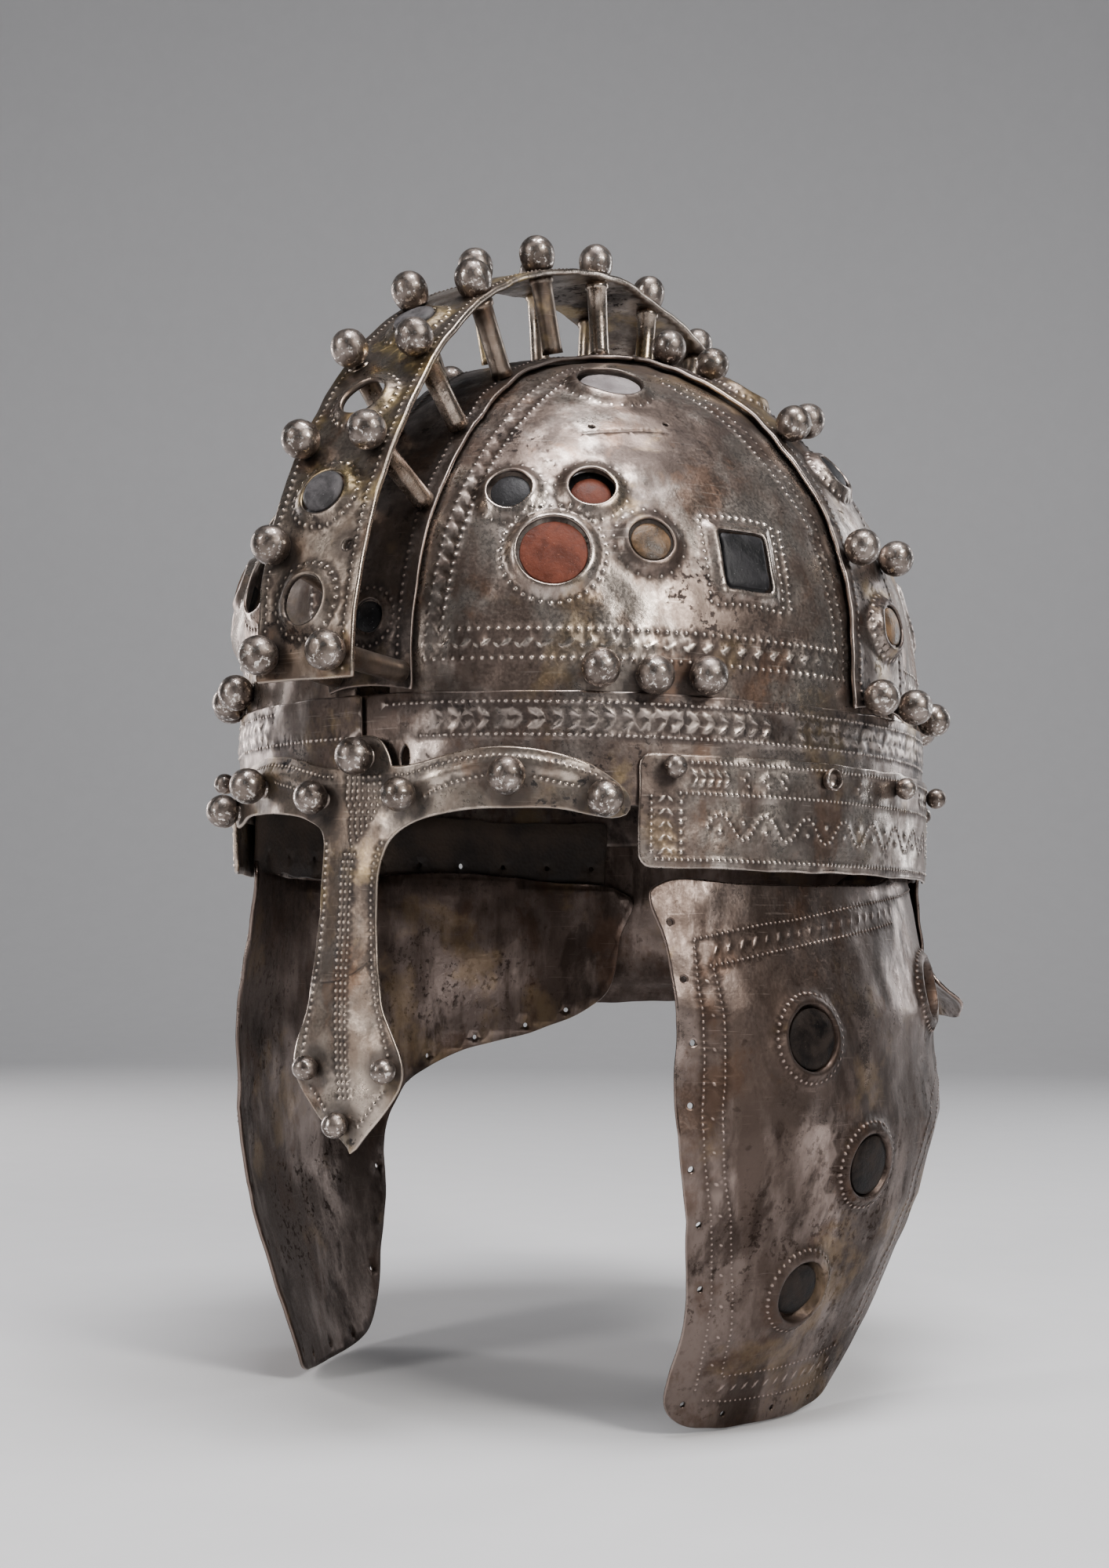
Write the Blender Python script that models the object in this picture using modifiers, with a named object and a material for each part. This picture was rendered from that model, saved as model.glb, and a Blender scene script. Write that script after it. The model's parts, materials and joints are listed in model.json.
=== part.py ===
"""Late Roman cavalry helmet: four bowl plates in a frame of ridge plate and cross bands, a raised crest
strip on rivet posts, a rim band, a brow piece with a nasal, side plates, a neck guard and two hanging cheek
guards.

Dimensions are in millimetres and MM turns them into metres. +Z is up, the face looks along -Y and the
wearer's left is +X. The origin is the centre of the head opening, on the plane of the rim band's lower edge.
"""

import math

import bmesh
import bpy
from mathutils import Matrix, Vector
from mathutils.geometry import delaunay_2d_cdt

MM = 0.001
GAP = 0.3

# Head opening and bowl
RIM_OUTER = (104.5, 118.0)
RIM_THICK = 1.2
RIM_HEIGHT = 30.0
RIM_SIDES = 48
BOWL_RADII = (102.6, 116.4, 105.6)
BOWL_BASE = 40.0
BOWL_THICK = 1.5
BOWL_EDGE_Z = 22.0
PANEL_INNER_X = 6.0
PANEL_SPACING = 20.0
RIGHT_BULGE = 0.115
BULGE_FROM_Z = 40.0
BULGE_FULL_Z = 58.0

# Frame over the bowl plates
FRAME_LIFT = 2.3
FRAME_THICK = 1.2
FRAME_EDGE_Z = 31.0
FRAME_SPACING = 17.0
RIDGE_HALF = (14.0, 17.0)
RIDGE_TURN = 0.985
ARM_END_X = 28.0
ARM_FILLET = 20.0
CROSS_CENTRE_Y = -7.0
CROSS_SETTING_Y = -3.5
PLATE_OVERLAP = 3.0

# Crest strip
CREST_SEMI = (146.0, 142.0)
CREST_BASE = 30.0
CREST_HALF = 16.0
CREST_END = 0.4
CREST_THICK = 1.2
CREST_SPACING = 28.0
CREST_ANGLES = (2.8, 14.5, 27.2, 41.3, 55.5, 70.0, 83.5)
CREST_BALL_X = 11.0
POST_RADIUS = 3.1
LOST_RIVET_HOLE = 1.8

# Balls, stones and their settings
BALL_RADIUS = 5.0
BALL_SIDES = 8
RIVET_SIDES = 6
SMALL_BALL_RADIUS = 3.2
BALL_SINK = 0.8
BALL_FOOT = 0.5
STONE_PLAY = 0.85
BIG_STONE = 8.0
STONE_DEPTH = 1.3
STONE_RISE = 0.7
COLLAR_WIDTH = 3.5
STONE_INSET = 0.6

# Outer fittings on the rim band
FITTING_THICK = 1.2
FITTING_SPACING = 14.0
NECK_PLAY = 0.3
NECK_SPACING = 18.0
FITTING_OUTER = (RIM_OUTER[0] + GAP + FITTING_THICK, RIM_OUTER[1] + GAP + FITTING_THICK)
SIDE_PLATE_T = (41.0, 116.0)
SIDE_PLATE_Z = (-16.5, 14.0)

# Cheek guards and the straps that they hang on
GUARD_TOP = (100.4, 113.9)
GUARD_THICK = 1.4
GUARD_COLLAR = 2.0
BACKING_RADIUS = 12.6
BACKING_Z = (-0.3, -1.2)
BACKING_SIDES = 8
GUARD_SPACING = 20.0
STRAP_OUTER = (RIM_OUTER[0] - RIM_THICK - GAP, RIM_OUTER[1] - RIM_THICK - GAP)
STRAP_THICK = 1.5
STRAP_T = (60.0, 150.0)
STRAP_Z = (-15.5, 8.0)

# Section scales of the cheek guards and the neck guard: height, scale across, scale front to back
GUARD_FLARE = {
    "left": (
        (-176, 0.84, 0.83), (-165, 0.87, 0.86), (-143, 0.96, 0.93), (-112, 1.07, 1.02),
        (-88, 1.11, 1.05), (-55, 1.09, 1.04), (-17, 1.0, 1.0),
    ),
    "right": (
        (-176, 0.83, 0.83), (-165, 0.86, 0.86), (-143, 0.92, 0.93), (-112, 1.0, 1.02),
        (-88, 1.03, 1.05), (-55, 1.02, 1.04), (-17, 1.0, 1.0),
    ),
}
NECK_FLARE = (
    (-62, 1.17, 1.17), (-55, 1.14, 1.14), (-48, 1.05, 1.05), (-40, 1.02, 1.02), (-20, 1.0, 1.0),
)

# Cheek guards' outline, azimuth in degrees from the front and height, and the upper edge of each
GUARD_OUTLINE = (
    (44.6, -36.0), (45.4, -55.0), (45.3, -85.0), (47.6, -112.0), (49.6, -138.0),
    (48.5, -160.0), (49.2, -167.5), (52.5, -172.0), (58.0, -173.8), (68.0, -174.5), (78.0, -174.2),
    (88.0, -171.3), (93.5, -163.5), (96.7, -152.0), (100.5, -128.0), (102.1, -105.0), (107.6, -89.0),
    (113.8, -82.0), (121.7, -76.0), (131.4, -72.0), (142.2, -65.0), (149.0, -57.0), (151.7, -47.0),
    (152.9, -34.0),
)
GUARD_TOP_EDGE = {
    "left": (
        (155.3, -16.0), (138.0, -11.0), (120.6, -8.0), (105.0, -10.0), (91.0, -18.0), (75.0, -19.5),
        (59.0, -20.3), (43.7, -21.5),
    ),
    "right": (
        (155.3, -19.0), (138.0, -14.5), (120.6, -12.0), (105.0, -13.0), (91.0, -16.5), (75.0, -16.5),
        (59.0, -16.0), (43.7, -15.0),
    ),
}

# Neck guard's outline on its left half: azimuth, height
NECK_OUTLINE = (
    (180.0, 12.0), (127.0, 12.0), (126.0, 8.0), (126.0, -40.0), (124.5, -49.0), (126.5, -56.0),
    (132.0, -60.5), (145.0, -59.5), (180.0, -57.5),
)

# Brow and nasal outline on its left half: x, z
BROW_OUTLINE = (
    (0.0, 18.6), (4.8, 17.4), (7.4, 13.5), (8.4, 10.0), (14.0, 10.2), (28.0, 13.8), (38.0, 15.0),
    (46.0, 14.3), (54.0, 12.5), (60.0, 10.4), (66.0, 5.3), (67.8, 1.5), (67.2, -2.2), (64.0, -3.6),
    (52.0, -1.2), (38.0, -1.0), (26.0, -2.4), (17.0, -5.0), (12.2, -8.2), (10.2, -12.0), (9.4, -25.0),
    (10.8, -43.0), (12.6, -55.0), (17.8, -74.0), (0.0, -94.0),
)
BROW_SPACING = 12.0
NASAL_PROUD = 5.0
NASAL_SKEW = 3.4
NASAL_SKEW_DROP = 14.0
NASAL_BEND = 4.6
NASAL_BEND_Z = -45.0
NASAL_ROOT_Z = -3.0
NASAL_TIP_Z = -94.0

# Settings of a bowl plate: name, azimuth, height, radius (the square one is cut by its half sizes)
PLATE_SETTINGS = (
    ("high", 38.4, 124.1, 9.6),
    ("inner", 20.6, 85.8, 6.2),
    ("small", 34.0, 86.5, 6.3),
    ("big", 28.3, 68.0, 10.0),
    ("outer", 43.0, 71.6, 6.3),
)
SQUARE_SETTING = (58.5, 68.8)
SQUARE_HALF = (8.0, 9.0)
PLATE_BALLS = {
    "front": ((35.2, 36.0), (42.7, 34.6), (50.4, 35.2)),
    "back": ((36.0, 35.2), (50.0, 35.2), (66.0, 35.2)),
}

# Finish of the stone in each setting, and the stones that are still in place on each bowl plate
PLATE_FINISHES = {
    "high": "pale", "inner": "dark", "small": "red", "big": "red", "outer": "amber", "square": "dark",
}
PLATE_STONES = {
    "front_left": ("high", "inner", "small", "big", "outer", "square"),
    "front_right": ("inner", "outer", "square"),
    "back_left": ("big", "outer", "square"),
    "back_right": ("inner", "big", "square"),
}

# Cross band balls: distance from the band's centre line, angle up the band; settings: angle, radius
CROSS_BALLS = ((-11, 69.5), (11, 68), (-9, 43.5), (9, 47), (-11, 20), (11, 20), (-11, -2.8), (11, -3.0))
CROSS_SETTINGS = (("upper", 58.0, 6.4), ("middle", 36.0, 6.2), ("lower", 9.0, 6.2))
CROSS_STONES = {"middle": "dark", "lower": "amber"}
CROSS_COLLAR = 2.6

# Cross band edges: angle up the band, front and back distance from the centre line
CROSS_TOP = 74.0
CROSS_EDGES = ((-5, 17.0, 16.0), (6, 16.5, 15.5), (20, 14.5, 14.5), (50, 14.0, 14.5), (75, 17.0, 16.0))

# Crest settings by the row of balls that they follow, with a stone or open
CREST_SETTINGS = (
    (0, False), (1, True), (2, False), (3, True), (9, True), (10, False), (11, True), (12, False),
)
CREST_SETTING_RADIUS = 6.8
CREST_COLLAR = 2.6
CREST_LOST_BALL = (1, 1)

# Ridge plate setting: angle from the front over the crown, radius
RIDGE_SETTING = (6.0, 5.0)

# Cheek guard settings: name, azimuth, height, radius, stone present
GUARD_SETTINGS = (
    ("upper", 66.3, -62.7, 9.3, True),
    ("middle", 78.8, -99.3, 9.3, True),
    ("lower", 69.3, -133.9, 9.1, True),
    ("rear", 102.5, -50.5, 9.3, False),
)

# Brow balls: name, x, z, radius
BROW_BALLS = (
    ("top", 0.6, 12.7, 5.2),
    ("inner_left", 13.6, 2.2, 4.7),
    ("inner_right", -14.6, 2.2, 4.7),
    ("middle_left", 41.0, 6.9, 5.2),
    ("middle_right", -43.0, 6.8, 5.2),
    ("outer_left", 62.0, 1.2, 5.0),
    ("outer_right", -63.6, 1.0, 5.0),
    ("nasal_left", 14.2, -71.8, 3.5),
    ("nasal_right", -10.7, -71.8, 3.5),
    ("nasal_tip", -1.8, -86.7, 3.6),
)
SIDE_BALLS = ((45.5, 10.4), (71.5, 9.6), (90.0, 9.6), (110.0, 9.6))
NECK_BALLS = ((131.0, 7.0), (155.0, 7.0), (180.0, 7.0), (205.0, 7.0), (229.0, 7.0))


# ---------------------------------------------------------------- surfaces


def table_values(table, key):
    """Reads a table of (key, value, value) rows, straight between rows and level past its ends."""
    rows = sorted(table)
    if key <= rows[0][0]:
        return rows[0][1:]
    for low, high in zip(rows, rows[1:]):
        if key <= high[0]:
            share = (key - low[0]) / (high[0] - low[0])
            return [a + (b - a) * share for a, b in zip(low[1:], high[1:])]
    return rows[-1][1:]


class Surface:
    """A surface that at() addresses by two map coordinates in about millimetres, and find() turns back."""

    def normal(self, p, q):
        step = 0.5
        along = self.at(p + step, q) - self.at(p - step, q)
        across = self.at(p, q + step) - self.at(p, q - step)
        n = along.cross(across).normalized()
        return n if n.dot(self.at(p, q) - self.core(self.at(p, q))) > 0 else -n

    def frame(self, p, q, lift=0.0, upright=Vector((0, 0, 1))):
        """A matrix at the surface with Z outward and Y as near upright as it can be."""
        z = self.normal(p, q)
        x = upright.cross(z).normalized()
        y = z.cross(x)
        turn = Matrix((x, y, z)).transposed().to_4x4()
        return Matrix.Translation(self.at(p, q) + z * lift) @ turn

    def loop(self, centre, offsets):
        """Map points of a closed loop, drawn in the tangent plane at centre and laid on the surface."""
        place = self.frame(*centre)
        return [self.find(place @ Vector((x, y, 0))) for x, y in offsets]


class Dome(Surface):
    """An ellipsoid cap on an upright elliptic wall. Its map is seen from the crown, with arc lengths kept."""

    def __init__(self, lift=0.0):
        self.a, self.b, self.h = (r + lift for r in BOWL_RADII)
        self.quarter = math.pi / 2 * (self.a + self.b + self.h) / 3

    def core(self, point):
        return Vector((0, 0, min(point.z, BOWL_BASE)))

    def across(self, x, z):
        """Scale of x at this height: the right side bulges."""
        if x >= 0 or z <= BULGE_FROM_Z:
            return 1.0
        grown = min(1.0, (z - BULGE_FROM_Z) / (BULGE_FULL_Z - BULGE_FROM_Z))
        return 1 + RIGHT_BULGE * grown * grown * (3 - 2 * grown)

    def polar(self, t, z):
        """Map point at azimuth t in degrees and height z."""
        if z > BOWL_BASE:
            u = math.asin(min(1.0, (z - BOWL_BASE) / self.h))
            reach = self.quarter * (1 - u / (math.pi / 2))
        else:
            reach = self.quarter + BOWL_BASE - z
        return (reach * math.sin(math.radians(t)), -reach * math.cos(math.radians(t)))

    def find(self, point):
        x = point.x / self.across(point.x, point.z)
        t = math.degrees(math.atan2(x / self.a, -point.y / self.b))
        if point.z <= BOWL_BASE:
            return self.polar(t, point.z)
        u = math.atan2((point.z - BOWL_BASE) / self.h, math.hypot(x / self.a, point.y / self.b))
        return self.polar(t, BOWL_BASE + self.h * math.sin(u))

    def plan(self, x, y):
        """Map point above the plan point x, y."""
        rest = 1 - (x / self.a) ** 2 - (y / self.b) ** 2
        return self.find(Vector((x, y, BOWL_BASE + self.h * math.sqrt(max(rest, 1e-9)))))

    def on_x(self, x, z, side=-1):
        """Map point at this x and z, on the front (side -1) or the back (1)."""
        shrink = 1.0
        if z > BOWL_BASE:
            shrink = math.sqrt(1 - ((z - BOWL_BASE) / self.h) ** 2)
        y = side * self.b * math.sqrt(max(0.0, shrink**2 - (x / self.a) ** 2))
        return self.find(Vector((x, y, z)))

    def on_y(self, y, z, side=1):
        """Map point at this y and z, on the wearer's left (side 1) or right (-1)."""
        shrink = 1.0
        if z > BOWL_BASE:
            shrink = math.sqrt(1 - ((z - BOWL_BASE) / self.h) ** 2)
        x = side * self.a * math.sqrt(max(0.0, shrink**2 - (y / self.b) ** 2))
        return self.find(Vector((x, y, z)))

    def at(self, p, q):
        reach = math.hypot(p, q)
        turn = (p / reach, q / reach) if reach > 1e-9 else (0.0, 0.0)
        u = math.pi / 2 * (1 - reach / self.quarter)
        ring = math.cos(u) if u > 0 else 1.0
        z = BOWL_BASE + (self.h * math.sin(u) if u > 0 else self.quarter - reach)
        x = self.a * ring * turn[0]
        return Vector((x * self.across(x, z), self.b * ring * turn[1], z))

    def depth(self, point):
        """Below zero inside the dome."""
        cap = max(0.0, (point.z - BOWL_BASE) / self.h)
        x = point.x / self.across(point.x, point.z)
        return (x / self.a) ** 2 + (point.y / self.b) ** 2 + cap**2 - 1


class Wall(Surface):
    """An upright elliptic wall whose section changes with height. Map: arc about the axis, height."""

    def __init__(self, semi, flare=((0, 1.0, 1.0),)):
        self.a, self.b = semi
        self.flare = flare
        self.per_degree = math.radians((self.a + self.b) / 2)

    def core(self, point):
        return Vector((0, 0, point.z))

    def polar(self, t, z):
        return (t * self.per_degree, z)

    def find(self, point):
        across, along = table_values(self.flare, point.z)
        t = math.degrees(math.atan2(point.x / (self.a * across), -point.y / (self.b * along)))
        return self.polar(t % 360 if t < -150 else t, point.z)

    def at(self, p, q):
        t = math.radians(p / self.per_degree)
        across, along = table_values(self.flare, q)
        return Vector((self.a * across * math.sin(t), -self.b * along * math.cos(t), q))


class Visor(Surface):
    """The front of the wall, addressed by x and z, which leans forward below the brow."""

    def core(self, point):
        return Vector((0, 0, point.z))

    def find(self, point):
        return (point.x + self.skew(point.z), point.z)

    def eased(self, full, drop, z):
        """Grows from nothing at the nasal's root to its full value at this drop below it."""
        share = min(1.0, max(0.0, (NASAL_ROOT_Z - z) / drop))
        return full * math.sin(share * math.pi / 2)

    def skew(self, z):
        """How far the nasal stands to the right of its root at this height. Its tip bends back."""
        bend = max(0.0, (NASAL_BEND_Z - z) / (NASAL_BEND_Z - NASAL_TIP_Z))
        return self.eased(NASAL_SKEW, NASAL_SKEW_DROP, z) - NASAL_BEND * bend**2

    def at(self, p, q):
        a, b = FITTING_OUTER
        proud = self.eased(NASAL_PROUD, NASAL_ROOT_Z - NASAL_TIP_Z, q)
        return Vector((p - self.skew(q), -b * math.sqrt(1 - (p / a) ** 2) - proud, q))


class Arch(Surface):
    """The crest strip's outer face: flat across, half an ellipse along. Map: x, arc from the front end."""

    def __init__(self):
        self.per_degree = math.pi * sum(CREST_SEMI) / 2 / 180

    def core(self, point):
        return Vector((point.x, 0, CREST_BASE))

    def along(self, x, degrees):
        return (x, degrees * self.per_degree)

    def find(self, point):
        e = math.degrees(math.atan2((point.z - CREST_BASE) / CREST_SEMI[1], -point.y / CREST_SEMI[0]))
        return self.along(point.x, e)

    def at(self, p, q):
        e = math.radians(q / self.per_degree)
        return Vector((p, -CREST_SEMI[0] * math.cos(e), CREST_BASE + CREST_SEMI[1] * math.sin(e)))


BOWL = Dome()
FRAME = Dome(FRAME_LIFT)
ARCH = Arch()
VISOR = Visor()
FITTING = Wall(FITTING_OUTER)
NECK = Wall([semi + NECK_PLAY for semi in FITTING_OUTER], NECK_FLARE)
GUARDS = {side: Wall(GUARD_TOP, flare) for side, flare in GUARD_FLARE.items()}
STRAP = Wall(STRAP_OUTER)


# ---------------------------------------------------------------- scene helpers


def clear_scene():
    for obj in list(bpy.data.objects):
        bpy.data.objects.remove(obj, do_unlink=True)


def new_collection(name, hidden=False):
    collection = bpy.data.collections.new(name)
    bpy.context.scene.collection.children.link(collection)
    collection.hide_render = hidden
    return collection


def principled(name, color, roughness, metallic):
    material = bpy.data.materials.new(name)
    material.use_nodes = True
    shader = material.node_tree.nodes["Principled BSDF"]
    shader.inputs["Base Color"].default_value = (*color, 1)
    shader.inputs["Roughness"].default_value = roughness
    shader.inputs["Metallic"].default_value = metallic
    return material


def add_object(name, mesh, material):
    obj = bpy.data.objects.new(name, mesh)
    PARTS.objects.link(obj)
    mesh.materials.clear()
    mesh.materials.append(material)
    return obj


def add_cutter(name, mesh):
    obj = bpy.data.objects.new(name, mesh)
    CUTTERS.objects.link(obj)
    obj.hide_render = True
    obj.display_type = "WIRE"
    return obj


def mesh_from(bm, name):
    """Makes a mesh of bm, whose points are in millimetres, and frees bm."""
    bmesh.ops.scale(bm, vec=(MM, MM, MM), verts=bm.verts)
    mesh = bpy.data.meshes.new(name)
    bm.to_mesh(mesh)
    bm.free()
    mesh.shade_smooth()
    mesh.set_sharp_from_angle(angle=math.radians(35))
    return mesh


# ---------------------------------------------------------------- outlines


def inside(loop, x, y):
    """Whether a point is inside a closed loop, by crossings."""
    odd = False
    for (x0, y0), (x1, y1) in zip(loop, loop[1:] + loop[:1]):
        if (y0 > y) != (y1 > y) and x < (x1 - x0) * (y - y0) / (y1 - y0) + x0:
            odd = not odd
    return odd


def clearance(loop, x, y):
    """Distance from a point to the nearest side of a closed loop."""
    here = Vector((x, y))
    best = math.inf
    for start, end in zip(loop, loop[1:] + loop[:1]):
        a, side = Vector(start), Vector(end) - Vector(start)
        s = min(1.0, max(0.0, (here - a).dot(side) / max(side.length_squared, 1e-12)))
        best = min(best, (a + side * s - here).length)
    return best


def resample(loop, spacing):
    """The loop with its long sides cut so that no side is longer than spacing."""
    points = []
    for (x0, y0), (x1, y1) in zip(loop, loop[1:] + loop[:1]):
        count = max(1, math.ceil(math.hypot(x1 - x0, y1 - y0) / spacing))
        points += [(x0 + (x1 - x0) * i / count, y0 + (y1 - y0) * i / count) for i in range(count)]
    return points


def circle(radius, sides):
    angles = [math.tau * i / sides for i in range(sides)]
    return [(radius * math.cos(a), radius * math.sin(a)) for a in angles]


def rectangle(half_x, half_y, corner, steps=3):
    """A rectangle with round corners, as points round its middle."""
    points = []
    for k, (sx, sy) in enumerate(((1, 1), (-1, 1), (-1, -1), (1, -1))):
        for i in range(steps + 1):
            a = math.radians(90 * (k + i / steps))
            middle = (sx * (half_x - corner), sy * (half_y - corner))
            points.append((middle[0] + corner * math.cos(a), middle[1] + corner * math.sin(a)))
    return points


def mirrored(half):
    """A closed outline from its half at x >= 0, whose first and last points are on the axis."""
    return list(half) + [(-x, y) for x, y in reversed(half[1:-1])]


# ---------------------------------------------------------------- solids


def sheet(name, surface, outline, thick, spacing, material, holes=(), rings=(), rise=None, marks=()):
    """A bent plate: the outline and its holes are meshed flat in the map, laid on the surface and thickened
    inwards. rings and marks are further loops and points that the mesh keeps to, and rise(p, q) lifts points
    off the surface. Every map runs counter-clockwise seen from outside, so the faces point outwards."""
    border = resample(outline, spacing)
    loops = [border, *holes, *rings]
    points = [Vector(point) for loop in loops for point in loop]
    edges = []
    start = 0
    for loop in loops:
        edges += [(start + i, start + (i + 1) % len(loop)) for i in range(len(loop))]
        start += len(loop)
    points += [Vector(mark) for mark in marks]
    xs, ys = zip(*border)
    row_step = spacing * math.sqrt(3) / 2
    row = 0
    y = min(ys) + row_step / 2
    while y < max(ys):
        x = min(xs) + (spacing / 2 if row % 2 else 0)
        while x < max(xs):
            free = inside(border, x, y) and not any(inside(hole, x, y) for hole in (*holes, *rings))
            clear = min(clearance(loop, x, y) for loop in loops) > spacing * 0.45
            lone = all(math.dist(mark, (x, y)) > spacing * 0.8 for mark in marks)
            if free and clear and lone:
                points.append(Vector((x, y)))
            x += spacing
        y += row_step
        row += 1
    flat, _, faces, _, _, _ = delaunay_2d_cdt(points, edges, [], 0, 1e-4)
    bm = bmesh.new()
    verts = []
    for p, q in flat:
        lift = rise(p, q) if rise else 0.0
        verts.append(bm.verts.new(surface.at(p, q) + surface.normal(p, q) * lift))
    for face in faces:
        cx, cy = sum((flat[i] for i in face), Vector((0, 0))) / len(face)
        if inside(border, cx, cy) and not any(inside(hole, cx, cy) for hole in holes):
            bm.faces.new([verts[i] for i in face])
    loose = [vert for vert in bm.verts if not vert.link_faces]
    bmesh.ops.delete(bm, geom=loose, context="VERTS")
    obj = add_object(name, mesh_from(bm, name), material)
    solid = obj.modifiers.new("thickness", "SOLIDIFY")
    solid.thickness = thick * MM
    solid.offset = -1
    return obj


def collars(surface, settings, height):
    """A rise for sheet(): the metal climbs to a collar round each (map point, radius) setting."""
    middles = [(surface.at(*centre), radius) for centre, radius in settings]

    def rise(p, q):
        here = surface.at(p, q)
        edge = min((here - middle).length - radius for middle, radius in middles)
        return height * min(1.0, max(0.0, 1 - edge / COLLAR_WIDTH))

    return rise


def setting_loop(surface, centre, radius):
    return surface.loop(centre, circle(radius, stone_sides(radius)))


def raised(surface, settings, height):
    """What sheet() takes to make collared holes of (map point, radius) settings."""
    return {
        "holes": [setting_loop(surface, centre, radius) for centre, radius in settings],
        "rings": [setting_loop(surface, centre, radius + COLLAR_WIDTH) for centre, radius in settings],
        "rise": collars(surface, settings, height),
    }


def turned(name, profile, sides):
    """A mesh in millimetres turned about Z. The profile of (radius, height) runs down its outer side."""
    mesh = bpy.data.meshes.new(name)
    mesh.from_pydata([(r, 0, z) for r, z in profile], [(i, i + 1) for i in range(len(profile) - 1)], [])
    obj = bpy.data.objects.new(name, mesh)
    bpy.context.scene.collection.objects.link(obj)
    screw = obj.modifiers.new("turn", "SCREW")
    screw.steps = screw.render_steps = sides
    screw.use_merge_vertices = True
    screw.merge_threshold = 0.0001
    bpy.context.view_layer.update()
    graph = bpy.context.evaluated_depsgraph_get()
    made = bpy.data.meshes.new_from_object(obj.evaluated_get(graph))
    bpy.data.objects.remove(obj)
    return made


def footed_profile(radius, foot_radius, foot_z):
    """A ball about the origin, on a foot or post that ends flat at foot_z."""
    angles = [math.radians(angle) for angle in (0, 45, 90)]
    rings = [(radius * math.sin(a), radius * math.cos(a)) for a in angles]
    neck_z = -math.sqrt(radius**2 - foot_radius**2)
    return rings + [(foot_radius, neck_z), (foot_radius, foot_z), (0, foot_z)]


def rivet_head_profile(radius):
    """A plain ball about the origin, drawn down to a point that sinks into its plate."""
    waist = radius * math.cos(math.radians(30))
    return [(0, radius), (waist, radius / 2), (waist, -radius / 2), (0, -radius - BALL_SINK)]


def stone_sides(radius):
    return 10 if radius > BIG_STONE else 8


def stone_mesh(radius):
    """A low cabochon whose girdle is at z = 0 and whose back is flat."""
    profile = [(0, STONE_RISE), (radius, 0), (radius, -STONE_DEPTH), (0, -STONE_DEPTH)]
    return turned("stone", profile, stone_sides(radius))


def joined(name, pieces):
    """One mesh in metres of (mesh in millimetres, matrix) pieces that stand apart."""
    bm = bmesh.new()
    for mesh, place in pieces:
        old = set(bm.verts)
        bm.from_mesh(mesh)
        bmesh.ops.transform(bm, matrix=place, verts=[vert for vert in bm.verts if vert not in old])
    return mesh_from(bm, name)


def solder(obj, pieces):
    """Joins pieces to a plate as one solid."""
    other = add_cutter(obj.name + ".soldered", joined(obj.name + ".soldered", pieces))
    union = obj.modifiers.new("solder", "BOOLEAN")
    union.operation = "UNION"
    union.solver = "EXACT"
    union.object = other


def balls_on(surface, places, radius=BALL_RADIUS):
    """Balls at map points, each sunk a little into its plate."""
    mesh = turned("ball", rivet_head_profile(radius), RIVET_SIDES)
    return [(mesh, surface.frame(p, q, radius)) for p, q in places]


def set_stone(name, surface, centre, radius, material, collar=0.0):
    """A round stone in its hole, a little below the top of the collar if there is one."""
    lift = collar - STONE_INSET if collar else 0.0
    mesh = stone_mesh(radius - STONE_PLAY)
    add_object(name, joined(name, [(mesh, surface.frame(*centre, lift=lift))]), material)


# ---------------------------------------------------------------- bowl


def plate_outline(side_y):
    """Outline of one left bowl plate: rim, edge under the cross band, edge under the ridge plate. With it
    come the points of its shoulder, where the upright wall ends."""
    near_y = CROSS_CENTRE_Y + side_y * PLATE_OVERLAP
    t_low = math.degrees(math.asin(PANEL_INNER_X / BOWL.a))
    t_high = math.degrees(math.acos(-near_y / BOWL.b))
    if side_y > 0:
        t_low = 180 - t_low
    rim_steps = 13
    turn = [t_low + (t_high - t_low) * i / rim_steps for i in range(rim_steps + 1)]
    rim = [BOWL.polar(t, BOWL_EDGE_Z) for t in turn]
    shoulder = [BOWL.polar(t, BOWL_BASE) for t in turn[1:-1]]
    rest = 1 - (PANEL_INNER_X / BOWL.a) ** 2 - (near_y / BOWL.b) ** 2
    climb_steps = 9
    climb = [math.sin(math.pi / 2 * i / climb_steps) for i in range(1, climb_steps)]
    heights = [BOWL_BASE] + [BOWL_BASE + BOWL.h * math.sqrt(rest) * share for share in climb]
    up = [BOWL.on_y(near_y, z) for z in heights]
    down = [BOWL.on_x(PANEL_INNER_X, z, side_y) for z in reversed(heights)]
    return rim + up + [BOWL.plan(PANEL_INNER_X, near_y)] + down, shoulder


def build_bowl_plate(name, stones, metal, finishes):
    side_y = -1 if name.startswith("front") else 1
    side_x = 1 if name.endswith("left") else -1

    def spot(t, z):
        p, q = BOWL.polar(t if side_y < 0 else 180 - t, z)
        return (side_x * p, q)

    settings = {key: (spot(t, z), radius) for key, t, z, radius in PLATE_SETTINGS}
    holes = [setting_loop(BOWL, *setting) for setting in settings.values()]
    holes.append(BOWL.loop(spot(*SQUARE_SETTING), rectangle(*SQUARE_HALF, 1.0, 1)))
    outline, shoulder = ([(side_x * p, q) for p, q in line] for line in plate_outline(side_y))
    plate = sheet(
        "bowl_plate_" + name, BOWL, outline, BOWL_THICK, PANEL_SPACING, metal, holes, marks=shoulder
    )
    solder(plate, balls_on(BOWL, [spot(t, z) for t, z in PLATE_BALLS[name.split("_")[0]]]))
    for key in stones:
        finish = finishes[PLATE_FINISHES[key]]
        if key == "square":
            square_stone(f"stone_{name}_square", BOWL.frame(*spot(*SQUARE_SETTING)), finish)
        else:
            set_stone(f"stone_{name}_{key}", BOWL, *settings[key], finish)


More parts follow.
